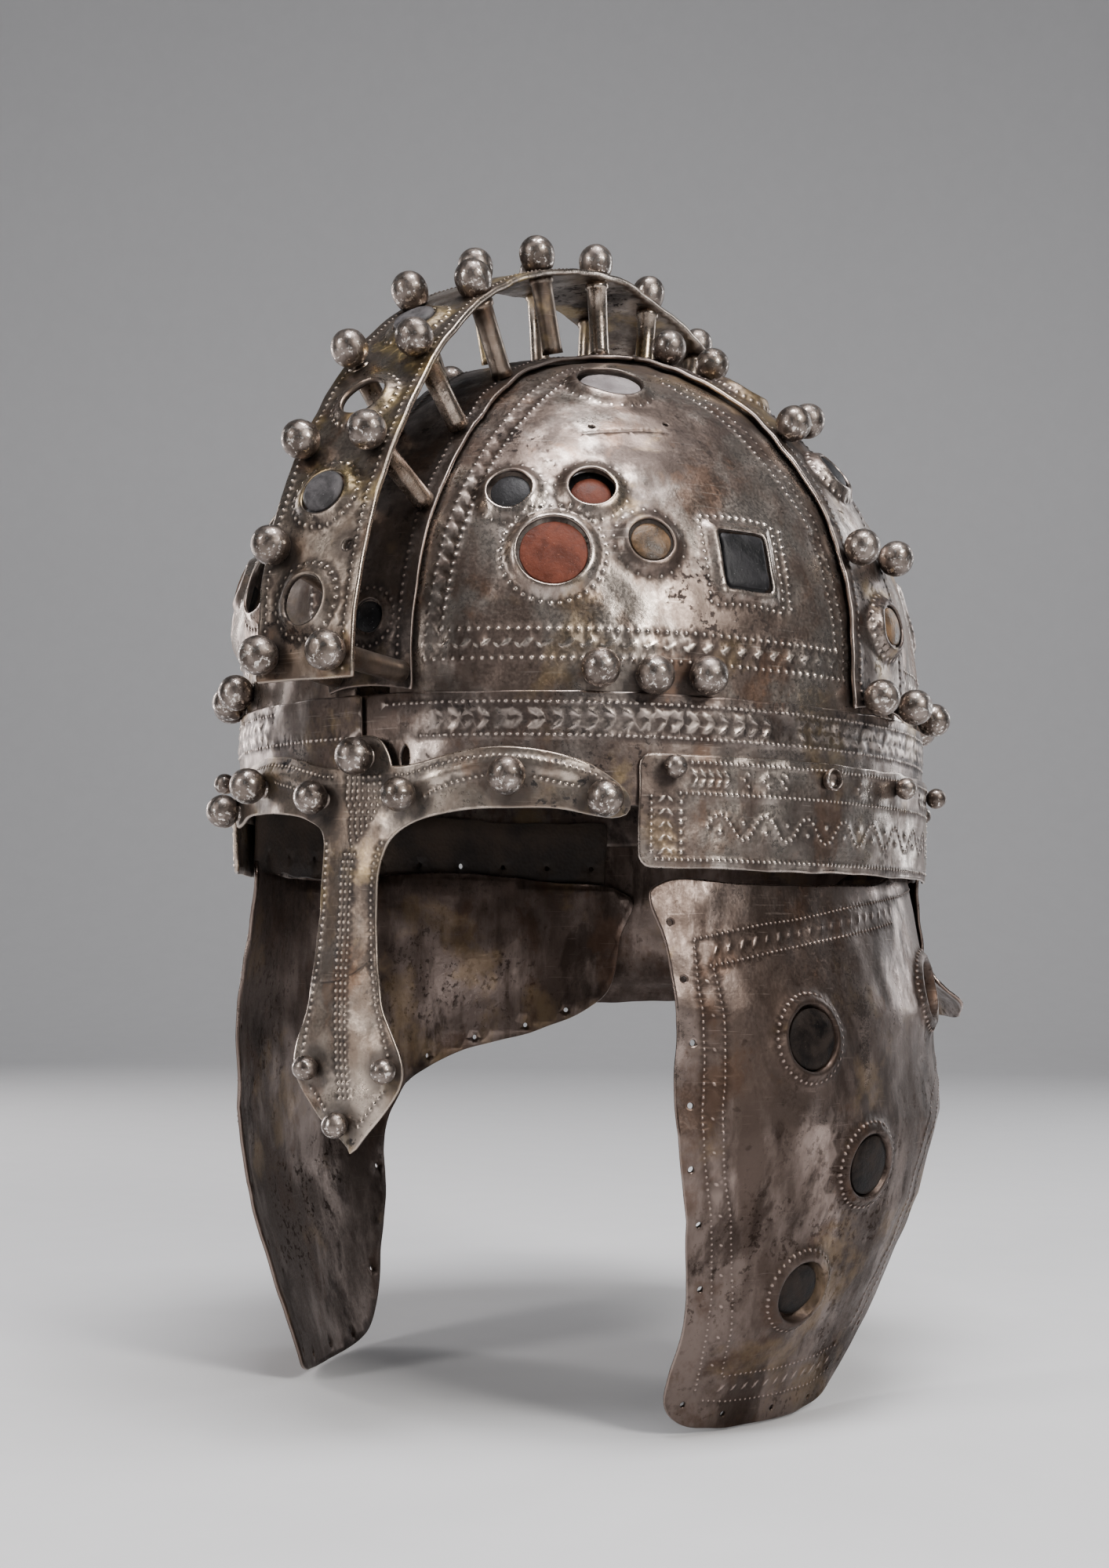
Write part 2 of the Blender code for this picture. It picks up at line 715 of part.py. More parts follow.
def square_stone(name, place, material):
    bm = bmesh.new()
    bmesh.ops.create_cube(bm, size=2)
    half_x, half_y = (half - STONE_PLAY for half in SQUARE_HALF)
    bmesh.ops.scale(bm, vec=(half_x, half_y, (STONE_DEPTH + STONE_RISE) / 2), verts=bm.verts)
    bmesh.ops.translate(bm, vec=(0, 0, (STONE_RISE - STONE_DEPTH) / 2), verts=bm.verts)
    bmesh.ops.transform(bm, matrix=place, verts=bm.verts)
    stone = add_object(name, mesh_from(bm, name), material)
    round_off = stone.modifiers.new("rounding", "BEVEL")
    round_off.width = 0.6 * MM
    round_off.segments = 1


# ---------------------------------------------------------------- frame and crest


def cross_edge(degrees, side_y):
    """Y of the cross band's front (side_y -1) or back (1) edge, this many degrees up."""
    return CROSS_CENTRE_Y + side_y * table_values(CROSS_EDGES, degrees)[0 if side_y < 0 else 1]


def band_point(y, degrees):
    """Map point of the left cross band at this y, this many degrees above the bowl's base. Below that the
    wall is upright, 2 mm for each degree."""
    shrink = math.sqrt(1 - (y / FRAME.b) ** 2)
    a = math.radians(max(0.0, degrees))
    x = FRAME.a * shrink * math.cos(a)
    z = BOWL_BASE + (FRAME.h * shrink * math.sin(a) if degrees > 0 else 2 * degrees)
    return FRAME.find(Vector((x, y, z)))


def arm_side(side_y):
    """The ridge plate's left side from the cross arm's end to the rim, at the front (-1) or the back (1)."""
    low, high = RIDGE_HALF
    arm_y = cross_edge(CROSS_TOP, side_y)
    fillet_y = arm_y + side_y * ARM_FILLET
    reach = ARM_END_X - high
    points = [FRAME.plan(ARM_END_X, arm_y)]
    fillet_steps = 4
    for i in range(1, fillet_steps + 1):
        a = math.pi / 2 * i / fillet_steps
        y = fillet_y - side_y * ARM_FILLET * math.cos(a)
        points.append(FRAME.plan(high + reach * (1 - math.sin(a)), y))
    end_y = side_y * FRAME.b * RIDGE_TURN
    run_steps = 7
    for i in range(run_steps - 1, -1, -1):
        share = i / run_steps
        y = end_y + (fillet_y - end_y) * math.sin(share * math.pi / 2)
        points.append(FRAME.plan(low + (high - low) * share, y))
    return points + [FRAME.on_x(low, BOWL_BASE, side_y), FRAME.on_x(low, FRAME_EDGE_Z, side_y)]


def build_ridge(metal, finishes):
    left = arm_side(-1)[::-1] + arm_side(1)
    outline = left + [(-p, q) for p, q in reversed(left)]
    angle, radius = RIDGE_SETTING
    a = math.radians(angle)
    centre = FRAME.find(Vector((0, -FRAME.b * math.cos(a), BOWL_BASE + FRAME.h * math.sin(a))))
    holes = [setting_loop(FRAME, centre, radius)]
    sheet("ridge_plate", FRAME, outline, FRAME_THICK, FRAME_SPACING, metal, holes)
    set_stone("stone_ridge_front", FRAME, centre, radius, finishes["dark"])


def build_cross_bands(metal, finishes):
    low = (FRAME_EDGE_Z - BOWL_BASE) / 2
    steps = 9
    angles = [low] + [CROSS_TOP * i / steps for i in range(steps)]
    front, back = ([band_point(cross_edge(e, side_y), e) for e in angles] for side_y in (-1, 1))
    corners = [FRAME.plan(ARM_END_X + 2 * GAP, cross_edge(CROSS_TOP, side_y)) for side_y in (-1, 1)]
    for side, sign in (("left", 1), ("right", -1)):

        def flip(point):
            return (sign * point[0], point[1])

        settings = {key: (flip(band_point(CROSS_SETTING_Y, e)), radius) for key, e, radius in CROSS_SETTINGS}
        outline = [flip(point) for point in front + corners + back[::-1]]
        forms = raised(FRAME, settings.values(), CROSS_COLLAR)
        band = sheet("cross_band_" + side, FRAME, outline, FRAME_THICK, FRAME_SPACING, metal, **forms)
        spots = [flip(band_point(CROSS_CENTRE_Y + y, e)) for y, e in CROSS_BALLS]
        solder(band, balls_on(FRAME, spots))
        for key, finish in CROSS_STONES.items():
            set_stone(f"stone_cross_{side}_{key}", FRAME, *settings[key], finishes[finish], CROSS_COLLAR)


def post_length(p, q):
    """From the crest strip's outer face down to just above the ridge plate."""
    top = ARCH.at(p, q)
    down = -ARCH.normal(p, q)
    near, far = 5.0, 45.0
    while far - near > GAP / 100:
        middle = (near + far) / 2
        if FRAME.depth(top + down * middle) > 0:
            near = middle
        else:
            far = middle
    return near - 2 * GAP


def build_crest(metal, finishes):
    run = 180 - 2 * CREST_END
    rows = 18
    edge = [ARCH.along(CREST_HALF, CREST_END + run * i / rows) for i in range(rows + 1)]
    outline = edge + [(-p, q) for p, q in reversed(edge)]
    angles = list(CREST_ANGLES) + [180 - angle for angle in reversed(CREST_ANGLES)]
    settings = []
    for number, (row, filled) in enumerate(CREST_SETTINGS):
        centre = ARCH.along(0, (angles[row] + angles[row + 1]) / 2)
        settings.append((centre, CREST_SETTING_RADIUS))
        if filled:
            name = f"stone_crest_{number}"
            set_stone(name, ARCH, centre, CREST_SETTING_RADIUS, finishes["dark"], CREST_COLLAR)
    forms = raised(ARCH, settings, CREST_COLLAR)
    rivets = []
    for row, angle in enumerate(angles):
        for side in (1, -1):
            p, q = ARCH.along(side * CREST_BALL_X, angle)
            if (row, side) == CREST_LOST_BALL:
                forms["holes"].append(ARCH.loop((p, q), circle(LOST_RIVET_HOLE, RIVET_SIDES)))
                continue
            profile = footed_profile(BALL_RADIUS, POST_RADIUS, -BALL_RADIUS - post_length(p, q))
            place = ARCH.frame(p, q, BALL_RADIUS, Vector((1, 0, 0)))
            rivets.append((turned("rivet", profile, RIVET_SIDES), place))
    strip = sheet("crest_strip", ARCH, outline, CREST_THICK, CREST_SPACING, metal, **forms)
    solder(strip, rivets)


# ---------------------------------------------------------------- rim and fittings


def build_rim(metal):
    bm = bmesh.new()
    made = bmesh.ops.create_circle(bm, cap_ends=False, segments=RIM_SIDES, radius=1)
    bmesh.ops.scale(bm, vec=(RIM_OUTER[0], RIM_OUTER[1], 1), verts=made["verts"])
    up = bmesh.ops.extrude_edge_only(bm, edges=bm.edges)
    verts = [item for item in up["geom"] if isinstance(item, bmesh.types.BMVert)]
    bmesh.ops.translate(bm, vec=(0, 0, RIM_HEIGHT), verts=verts)
    bm.normal_update()
    first = next(iter(bm.faces))
    if first.normal.dot(first.calc_center_median() * Vector((1, 1, 0))) < 0:
        bmesh.ops.reverse_faces(bm, faces=bm.faces)
    obj = add_object("rim_band", mesh_from(bm, "rim_band"), metal)
    solid = obj.modifiers.new("thickness", "SOLIDIFY")
    solid.thickness = RIM_THICK * MM
    solid.offset = -1
    solid.use_even_offset = True


def build_brow(metal, ball_metal):
    sheet("nasal_brow", VISOR, mirrored(BROW_OUTLINE), FITTING_THICK, BROW_SPACING, metal)
    for name, x, z, radius in BROW_BALLS:
        mesh = turned("ball", footed_profile(radius, radius * BALL_FOOT, -radius + GAP), BALL_SIDES)
        add_object("ball_brow_" + name, joined(name, [(mesh, VISOR.frame(x, z, radius))]), ball_metal)


def build_side_plates(metal):
    t0, t1 = SIDE_PLATE_T
    z0, z1 = SIDE_PLATE_Z
    middle = FITTING.polar((t0 + t1) / 2, (z0 + z1) / 2)
    half = (FITTING.per_degree * (t1 - t0) / 2, (z1 - z0) / 2)
    outline = [(middle[0] + x, middle[1] + y) for x, y in rectangle(*half, 4.0, 2)]
    for side, sign in (("left", 1), ("right", -1)):
        turned_outline = [(sign * p, q) for p, q in outline]
        plate = sheet("side_plate_" + side, FITTING, turned_outline, FITTING_THICK, FITTING_SPACING, metal)
        spots = [FITTING.polar(sign * t, z) for t, z in SIDE_BALLS]
        solder(plate, balls_on(FITTING, spots, SMALL_BALL_RADIUS))


def build_neck_guard(metal):
    left = [NECK.polar(t, z) for t, z in NECK_OUTLINE]
    right = [NECK.polar(360 - t, z) for t, z in reversed(NECK_OUTLINE[1:-1])]
    guard = sheet("neck_guard", NECK, left + right, FITTING_THICK, NECK_SPACING, metal)
    spots = [NECK.polar(t, z) for t, z in NECK_BALLS]
    solder(guard, balls_on(NECK, spots, SMALL_BALL_RADIUS))


# ---------------------------------------------------------------- cheek guards


def backing_profile():
    """A thin round plate that closes an empty setting at the guard's inner face."""
    top, bottom = BACKING_Z
    return [(0, top), (BACKING_RADIUS, top), (BACKING_RADIUS, bottom), (0, bottom)]


def build_cheek_guard(side, sign, metal, finishes):
    surface = GUARDS[side]
    settings = {key: (surface.polar(sign * t, z), radius) for key, t, z, radius, _ in GUARD_SETTINGS}
    outline = [surface.polar(sign * t, z) for t, z in GUARD_OUTLINE + GUARD_TOP_EDGE[side]]
    forms = raised(surface, settings.values(), GUARD_COLLAR)
    guard = sheet("cheek_guard_" + side, surface, outline, GUARD_THICK, GUARD_SPACING, metal, **forms)
    backing = turned("backing", backing_profile(), BACKING_SIDES)
    empty = [settings[key][0] for key, _, _, _, filled in GUARD_SETTINGS if not filled]
    solder(guard, [(backing, surface.frame(*centre)) for centre in empty])
    for key, _, _, _, filled in GUARD_SETTINGS:
        if filled:
            set_stone(f"stone_cheek_{side}_{key}", surface, *settings[key], finishes["dark"], GUARD_COLLAR)


def build_strap(side, sign, leather):
    (t0, t1), (z0, z1) = STRAP_T, STRAP_Z
    corners = ((t0, z0), (t1, z0), (t1, z1), (t0, z1))
    outline = [STRAP.polar(sign * t, z) for t, z in corners]
    sheet("hanger_strap_" + side, STRAP, outline, STRAP_THICK, FITTING_SPACING, leather)


# ---------------------------------------------------------------- the helmet

clear_scene()
PARTS = new_collection("late_roman_cavalry_helmet")
CUTTERS = new_collection("helmet_cutters", hidden=True)

SILVER = principled("tarnished_silver", (0.42, 0.37, 0.33), 0.38, 1.0)
BRIGHT = principled("rivet_silver", (0.55, 0.51, 0.47), 0.32, 1.0)
CHEEK = principled("cheek_silver", (0.34, 0.29, 0.25), 0.45, 1.0)
LEATHER = principled("dark_leather", (0.03, 0.022, 0.018), 0.8, 0.0)
FINISHES = {
    "dark": principled("dark_glass", (0.035, 0.038, 0.05), 0.25, 0.0),
    "red": principled("red_stone", (0.36, 0.09, 0.04), 0.5, 0.0),
    "amber": principled("amber_stone", (0.42, 0.25, 0.11), 0.4, 0.0),
    "pale": principled("pale_stone", (0.42, 0.36, 0.35), 0.2, 0.0),
}

for plate_name, plate_stones in PLATE_STONES.items():
    build_bowl_plate(plate_name, plate_stones, SILVER, FINISHES)
build_ridge(SILVER, FINISHES)
build_cross_bands(SILVER, FINISHES)
build_crest(SILVER, FINISHES)
build_rim(SILVER)
build_brow(SILVER, BRIGHT)
build_side_plates(SILVER)
build_neck_guard(SILVER)
for guard_side, guard_sign in (("left", 1), ("right", -1)):
    build_cheek_guard(guard_side, guard_sign, CHEEK, FINISHES)
    build_strap(guard_side, guard_sign, LEATHER)
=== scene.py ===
"""Late Roman cavalry helmet in beaten silver, dressed for rendering.

The surfaces below repeat the CAD model's, in millimetres, and every piece is built on them as a finer sheet
with punched dots, leaf marks, collars and hammer dents. +Z is up, the face looks along -Y and the wearer's
left is +X. Azimuths are degrees from the front towards the wearer's left.
"""

import json
import math

import bpy
import numpy as np
from mathutils import Matrix, Vector
from mathutils.geometry import delaunay_2d_cdt


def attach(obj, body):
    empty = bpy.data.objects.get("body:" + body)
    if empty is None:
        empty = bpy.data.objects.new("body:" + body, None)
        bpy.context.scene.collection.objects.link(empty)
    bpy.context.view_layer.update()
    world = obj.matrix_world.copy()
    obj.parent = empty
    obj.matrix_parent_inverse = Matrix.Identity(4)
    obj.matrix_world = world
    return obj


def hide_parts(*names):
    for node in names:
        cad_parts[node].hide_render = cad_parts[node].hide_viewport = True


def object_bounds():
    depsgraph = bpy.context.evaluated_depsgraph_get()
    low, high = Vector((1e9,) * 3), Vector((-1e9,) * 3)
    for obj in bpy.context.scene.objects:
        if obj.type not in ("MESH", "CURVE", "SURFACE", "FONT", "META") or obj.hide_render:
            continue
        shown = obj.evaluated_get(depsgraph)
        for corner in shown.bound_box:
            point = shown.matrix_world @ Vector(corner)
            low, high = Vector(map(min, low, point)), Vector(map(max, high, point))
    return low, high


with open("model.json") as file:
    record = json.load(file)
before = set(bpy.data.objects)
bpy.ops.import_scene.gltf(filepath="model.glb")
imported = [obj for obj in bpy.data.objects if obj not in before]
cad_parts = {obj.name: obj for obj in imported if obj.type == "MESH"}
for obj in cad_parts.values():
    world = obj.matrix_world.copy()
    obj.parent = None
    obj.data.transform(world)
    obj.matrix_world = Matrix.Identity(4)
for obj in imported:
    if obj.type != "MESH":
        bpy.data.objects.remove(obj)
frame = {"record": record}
CAD_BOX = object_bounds()
MM = 0.001
TAU = math.tau
SIDES = (("left", 1), ("right", -1))

# ---------------------------------------------------------------- sizes shared with the CAD model

RIM_OUTER = (104.5, 118.0)
BOWL_RADII = (102.6, 116.4, 105.6)
BOWL_BASE = 40.0
RIGHT_BULGE = 0.115
FRAME_LIFT = 2.3
CREST_SEMI = (146.0, 142.0)
CREST_BASE = 30.0
CREST_HALF = 16.0
FITTING_OUTER = (106.0, 119.5)
GUARD_TOP = (100.4, 113.9)
STRAP_OUTER = (103.0, 116.5)
CROSS_CENTRE_Y = -7.0
CROSS_SETTING_Y = -3.5
CROSS_TOP = 74.0
# Angle up the dome, and how far the band reaches forwards and backwards there.
CROSS_EDGES = ((-5, 17.0, 16.0), (6, 16.5, 15.5), (20, 14.5, 14.5), (50, 14.0, 14.5), (75, 17.0, 16.0))
CREST_POST_X = 11.0
# The row of posts and the side (1 for left) where one is lost, and the rows with straight-sided heads.
LOST_RIVET = (1, 1)
STRAIGHT_ROWS = range(4, 10)
BALL_RADIUS = 5.3
SMALL_BALL_RADIUS = 3.2
CREST_ANGLES = (2.8, 14.5, 27.2, 41.3, 55.5, 70.0, 83.5)
# Height, and the size of the section across and along at that height.
GUARD_FLARE = {
    "left": (
        (-176, 0.84, 0.83), (-165, 0.87, 0.86), (-143, 0.96, 0.93), (-112, 1.07, 1.02),
        (-88, 1.11, 1.05), (-55, 1.09, 1.04), (-17, 1.0, 1.0),
    ),
    "right": (
        (-176, 0.83, 0.83), (-165, 0.86, 0.86), (-143, 0.92, 0.93), (-112, 1.0, 1.02),
        (-88, 1.03, 1.05), (-55, 1.02, 1.04), (-17, 1.0, 1.0),
    ),
}
NECK_FLARE = (
    (-62, 1.17, 1.17), (-55, 1.14, 1.14), (-48, 1.05, 1.05), (-40, 1.02, 1.02), (-20, 1.0, 1.0),
)
# Outlines are angle and height, but the brow's is x and z.
GUARD_OUTLINE = (
    (44.6, -36.0), (45.4, -55.0), (45.3, -85.0), (47.6, -112.0), (49.6, -138.0),
    (48.5, -160.0), (49.2, -167.5), (52.5, -172.0), (58.0, -173.8), (68.0, -174.5), (78.0, -174.2),
    (88.0, -171.3), (93.5, -163.5), (96.7, -152.0), (100.5, -128.0), (102.1, -105.0), (107.6, -89.0),
    (113.8, -82.0), (121.7, -76.0), (131.4, -72.0), (142.2, -65.0), (149.0, -57.0), (151.7, -47.0),
    (152.9, -34.0),
)
GUARD_TOP_EDGE = {
    "left": (
        (155.3, -16.0), (138.0, -11.0), (120.6, -8.0), (105.0, -10.0), (91.0, -18.0), (75.0, -19.5),
        (59.0, -20.3), (43.7, -21.5),
    ),
    "right": (
        (155.3, -19.0), (138.0, -14.5), (120.6, -12.0), (105.0, -13.0), (91.0, -16.5), (75.0, -16.5),
        (59.0, -16.0), (43.7, -15.0),
    ),
}
NECK_OUTLINE = (
    (180.0, 12.0), (127.0, 12.0), (126.0, 8.0), (126.0, -40.0), (124.5, -49.0), (126.5, -56.0),
    (132.0, -60.5), (145.0, -59.5), (180.0, -57.5),
)
BROW_OUTLINE = (
    (0.0, 18.6), (4.8, 17.4), (7.4, 13.5), (8.4, 10.0), (14.0, 10.2), (28.0, 13.8), (38.0, 15.0),
    (46.0, 14.3), (54.0, 12.5), (60.0, 10.4), (66.0, 5.3), (67.8, 1.5), (67.2, -2.2), (64.0, -3.6),
    (52.0, -1.2), (38.0, -1.0), (26.0, -2.4), (17.0, -5.0), (12.2, -8.2), (10.2, -12.0), (9.4, -25.0),
    (10.8, -43.0), (12.6, -55.0), (17.8, -74.0), (0.0, -94.0),
)
NASAL_TIP_Z = -94
NASAL_SKEW = 3.4
NASAL_SKEW_DROP = 14
NASAL_BEND = 4.6
NASAL_BEND_Z = -45
NASAL_LEAN = 5.0
# Name, angle, height, radius and finish of the stone.
PLATE_SETTINGS = (
    ("high", 38.4, 124.1, 9.6, "pale"),
    ("inner", 20.6, 85.8, 6.2, "dark"),
    ("small", 34.0, 86.5, 6.3, "red"),
    ("big", 28.3, 68.0, 10.0, "red"),
    ("outer", 43.0, 71.6, 6.3, "amber"),
)
SQUARE_SETTING = (58.5, 68.8)
SQUARE_HALF = (8.0, 9.0)
PLATE_BALLS = {
    "front": ((35.2, 36.0), (42.7, 34.6), (50.4, 35.2)),
    "back": ((36.0, 35.2), (50.0, 35.2), (66.0, 35.2)),
}
# The broken red stone lies low over a dark disc of painted shade, the big one is flat and the amber one
# stands high.
PLATE_SEATS = {
    "small": {"lift": -0.9, "shift": (0.1, -0.8), "rise": 0.9, "shade_disc": 7.3},
    "big": {"lift": 0.35, "shift": (0.25, -0.3), "rise": 0.5},
    "outer": {"lift": 1.1, "shift": (0.1, -0.1), "rise": 0.8},
}
# Balls are distance behind the band's middle and angle up the dome; settings are name, angle, radius.
CROSS_BALLS = ((-11, 69.5), (11, 68), (-9, 43.5), (9, 47), (-11, 20), (11, 20), (-11, -2.8), (11, -3.0))
CROSS_SETTINGS = (("upper", 58.0, 6.4), ("middle", 36.0, 6.2), ("lower", 9.0, 6.2))
# The row of posts before each setting, and whether its stone is there.
CREST_SETTINGS = ((0, 0), (1, 1), (2, 0), (3, 1), (9, 1), (10, 0), (11, 1), (12, 0))
# Name, angle, height and radius.
GUARD_SETTINGS = (
    ("upper", 66.3, -62.7, 9.3),
    ("middle", 78.8, -99.3, 9.3),
    ("lower", 69.3, -133.9, 9.1),
    ("rear", 102.5, -50.5, 9.3),
)
# Pale runs on the near guard: angle and height of both ends, and the half widths there.
GUARD_RUNS = ((69.0, -86.0, 71.5, -114.0, 3.4, 0.9), (76.8, -55.5, 78.0, -75.0, 2.2, 0.8))
# Name, x, z and radius.
BROW_BALLS = (
    ("top", 0.6, 12.7, 5.2),
    ("inner_left", 13.6, 2.2, 4.7),
    ("inner_right", -14.6, 2.2, 4.7),
    ("middle_left", 41.0, 6.9, 5.2),
    ("middle_right", -43.0, 6.8, 5.2),
    ("outer_left", 62.0, 1.2, 5.0),
    ("outer_right", -63.6, 1.0, 5.0),
    ("nasal_left", 14.2, -71.8, 3.5),
    ("nasal_right", -10.7, -71.8, 3.5),
    ("nasal_tip", -1.8, -86.7, 3.6),
)
BROKEN_BALL = ("left", 1)
SIDE_BALLS = ((45.5, 10.4), (71.5, 9.6), (90.0, 9.6), (110.0, 9.6))
NECK_BALLS = ((131.0, 7.0), (155.0, 7.0), (180.0, 7.0), (205.0, 7.0), (229.0, 7.0))

# ---------------------------------------------------------------- surfaces


def rows_of(points):
    return np.atleast_2d(np.asarray(points, float))


def smooth(x):
    x = np.clip(x, 0, 1)
    return x * x * (3 - 2 * x)


class Surface:
    """A surface that at() addresses by map coordinates in about millimetres, and find() turns back.
    Every map runs counter-clockwise seen from outside."""

    def normal(self, maps):
        step = 0.4
        along = self.at(maps + [step, 0]) - self.at(maps - [step, 0])
        up = self.at(maps + [0, step]) - self.at(maps - [0, step])
        cross = np.cross(along, up)
        return cross / np.linalg.norm(cross, axis=1, keepdims=True)

    def axes(self, maps, upright=(0, 0, 1)):
        """Tangent X, tangent Y as near upright as it can be, and normal, for each map point."""
        z = self.normal(maps)
        x = np.cross(np.asarray(upright, float) + [0, 1e-4, 0], z)
        x /= np.linalg.norm(x, axis=1, keepdims=True)
        return x, np.cross(z, x), z

    def loop(self, centre, offsets):
        """Map points of a loop drawn in the tangent plane at a map point."""
        here = rows_of(centre)
        x, y, _ = self.axes(here)
        offsets = rows_of(offsets)
        return self.find(self.at(here) + offsets[:, :1] * x + offsets[:, 1:] * y)

    def place(self, centre, lift=0.0, upright=(0, 0, 1)):
        """Origin and axes, as rows, of a frame above a map point."""
        here = rows_of(centre)
        x, y, z = self.axes(here, upright)
        return (self.at(here) + z * lift)[0], np.array([x[0], y[0], z[0]])


class Dome(Surface):
    """An ellipsoid cap on an upright wall. Its map is seen from the crown, with arc lengths kept."""

    def __init__(self, lift=0.0):
        self.a, self.b, self.h = (r + lift for r in BOWL_RADII)
        self.quarter = math.pi / 2 * (self.a + self.b + self.h) / 3

    def across(self, x, z):
        return 1 + np.where(x < 0, RIGHT_BULGE, 0) * smooth((z - BOWL_BASE) / 18)

    def polar(self, t, z):
        t, z = np.broadcast_arrays(np.radians(np.asarray(t, float)), np.asarray(z, float))
        u = np.arcsin(np.clip((z - BOWL_BASE) / self.h, 0, 1))
        reach = np.where(z > BOWL_BASE, self.quarter * (1 - 2 * u / math.pi), self.quarter + BOWL_BASE - z)
        return np.stack([reach * np.sin(t), -reach * np.cos(t)], axis=-1)

    def find(self, points):
        points = rows_of(points)
        x = points[:, 0] / self.across(points[:, 0], points[:, 2])
        t = np.degrees(np.arctan2(x / self.a, -points[:, 1] / self.b))
        rise = (points[:, 2] - BOWL_BASE) / self.h
        u = np.arctan2(rise, np.hypot(x / self.a, points[:, 1] / self.b))
        z = np.where(rise > 0, BOWL_BASE + self.h * np.sin(u), points[:, 2])
        return self.polar(t, z)

    def plan(self, x, y):
        rest = 1 - (x / self.a) ** 2 - (y / self.b) ** 2
        return self.find([(x, y, BOWL_BASE + self.h * math.sqrt(max(rest, 1e-9)))])[0]

    def shrink(self, z):
        """The size of the dome's level section at this height, as a share of the one at its foot."""
        return math.sqrt(max(0.0, 1 - max(0.0, (z - BOWL_BASE) / self.h) ** 2))

    def on_x(self, x, z, side):
        y = side * self.b * math.sqrt(max(0.0, self.shrink(z) ** 2 - (x / self.a) ** 2))
        return self.find([(x, y, z)])[0]

    def on_y(self, y, z):
        x = self.a * math.sqrt(max(0.0, self.shrink(z) ** 2 - (y / self.b) ** 2))
        return self.find([(x, y, z)])[0]

    def at(self, maps):
        p, q = rows_of(maps).T
        reach = np.maximum(np.hypot(p, q), 1e-9)
        u = math.pi / 2 * (1 - reach / self.quarter)
        ring = np.where(u > 0, np.cos(u), 1.0)
        z = BOWL_BASE + np.where(u > 0, self.h * np.sin(u), self.quarter - reach)
        x = self.a * ring * p / reach
        return np.stack([x * self.across(x, z), self.b * ring * q / reach, z], axis=1)


class Wall(Surface):
    """An upright elliptic wall whose section changes with height. Map: arc about the axis, height."""

    def __init__(self, semi, flare=((0, 1.0, 1.0),), first=-170.0):
        self.a, self.b = semi
        self.first = first
        self.flare = np.array(flare, float).T
        self.per_degree = math.radians((self.a + self.b) / 2)

    def scales(self, z):
        return np.interp(z, self.flare[0], self.flare[1]), np.interp(z, self.flare[0], self.flare[2])

    def polar(self, t, z):
        t, z = np.broadcast_arrays(np.asarray(t, float), np.asarray(z, float))
        return np.stack([t * self.per_degree, z], axis=-1)

    def find(self, points):
        points = rows_of(points)
        across, along = self.scales(points[:, 2])
        t = np.degrees(np.arctan2(points[:, 0] / (self.a * across), -points[:, 1] / (self.b * along)))
        return self.polar(self.first + (t - self.first) % 360, points[:, 2])

    def at(self, maps):
        p, q = rows_of(maps).T
        across, along = self.scales(q)
        t = np.radians(p / self.per_degree)
        return np.stack([self.a * across * np.sin(t), -self.b * along * np.cos(t), q], axis=1)


class Visor(Surface):
    """The front of the fittings' wall, addressed by x and z, which leans forward below the brow."""

    def eased(self, full, drop, z):
        return full * np.sin(np.clip((-3 - z) / drop, 0, 1) * math.pi / 2)

    def skew(self, z):
        """The nasal stands a little to the right of its root, and its tip bends back."""
        bend = np.maximum((NASAL_BEND_Z - z) / (NASAL_BEND_Z - NASAL_TIP_Z), 0)
        return self.eased(NASAL_SKEW, NASAL_SKEW_DROP, z) - NASAL_BEND * bend**2

    def find(self, points):
        points = rows_of(points)
        return np.stack([points[:, 0] + self.skew(points[:, 2]), points[:, 2]], axis=1)

    def at(self, maps):
        p, q = rows_of(maps).T
        a, b = FITTING_OUTER
        y = -b * np.sqrt(1 - (p / a) ** 2) - self.eased(NASAL_LEAN, -3 - NASAL_TIP_Z, q)
        return np.stack([p - self.skew(q), y, q], axis=1)


class Arch(Surface):
    """The crest strip's outer face. Map: x, arc from the front end."""

    per_degree = math.pi * sum(CREST_SEMI) / 2 / 180

    def along(self, x, degrees):
        return np.array([x, degrees * self.per_degree])

    def find(self, points):
        points = rows_of(points)
        e = np.degrees(np.arctan2((points[:, 2] - CREST_BASE) / CREST_SEMI[1], -points[:, 1] / CREST_SEMI[0]))
        return np.stack([points[:, 0], e * self.per_degree], axis=1)

    def at(self, maps):
        p, q = rows_of(maps).T
        e = np.radians(q / self.per_degree)
        return np.stack([p, -CREST_SEMI[0] * np.cos(e), CREST_BASE + CREST_SEMI[1] * np.sin(e)], axis=1)


BOWL = Dome()
FRAME = Dome(FRAME_LIFT)
ARCH = Arch()
VISOR = Visor()
RIM = Wall(RIM_OUTER, first=-4.0)
FITTING = Wall(FITTING_OUTER)
NECK = Wall([semi + 0.3 for semi in FITTING_OUTER], NECK_FLARE, 10.0)
GUARDS = {side: Wall(GUARD_TOP, flare) for side, flare in GUARD_FLARE.items()}
STRAP = Wall(STRAP_OUTER)

# ---------------------------------------------------------------- noise and outlines


def waves(seed, count, low, high):
    """Soft noise of about unit size, from plane waves between two lengths in millimetres."""
    rng = np.random.default_rng(seed)
    direction = rng.normal(size=(count, 3))
    direction /= np.linalg.norm(direction, axis=1, keepdims=True)
    length = np.exp(rng.uniform(math.log(low), math.log(high), count))
    phase = rng.uniform(0, TAU, count)
    pull = (direction / length[:, None]).T * TAU
    return lambda points: np.sin(points @ pull + phase).sum(axis=1) * math.sqrt(2 / count)


HAMMER = waves(3, 40, 7, 17)
BUCKLE = waves(5, 24, 30, 80)
LUMPS = waves(8, 30, 3, 8)
EDGE_WAVE = waves(11, 24, 13, 45)


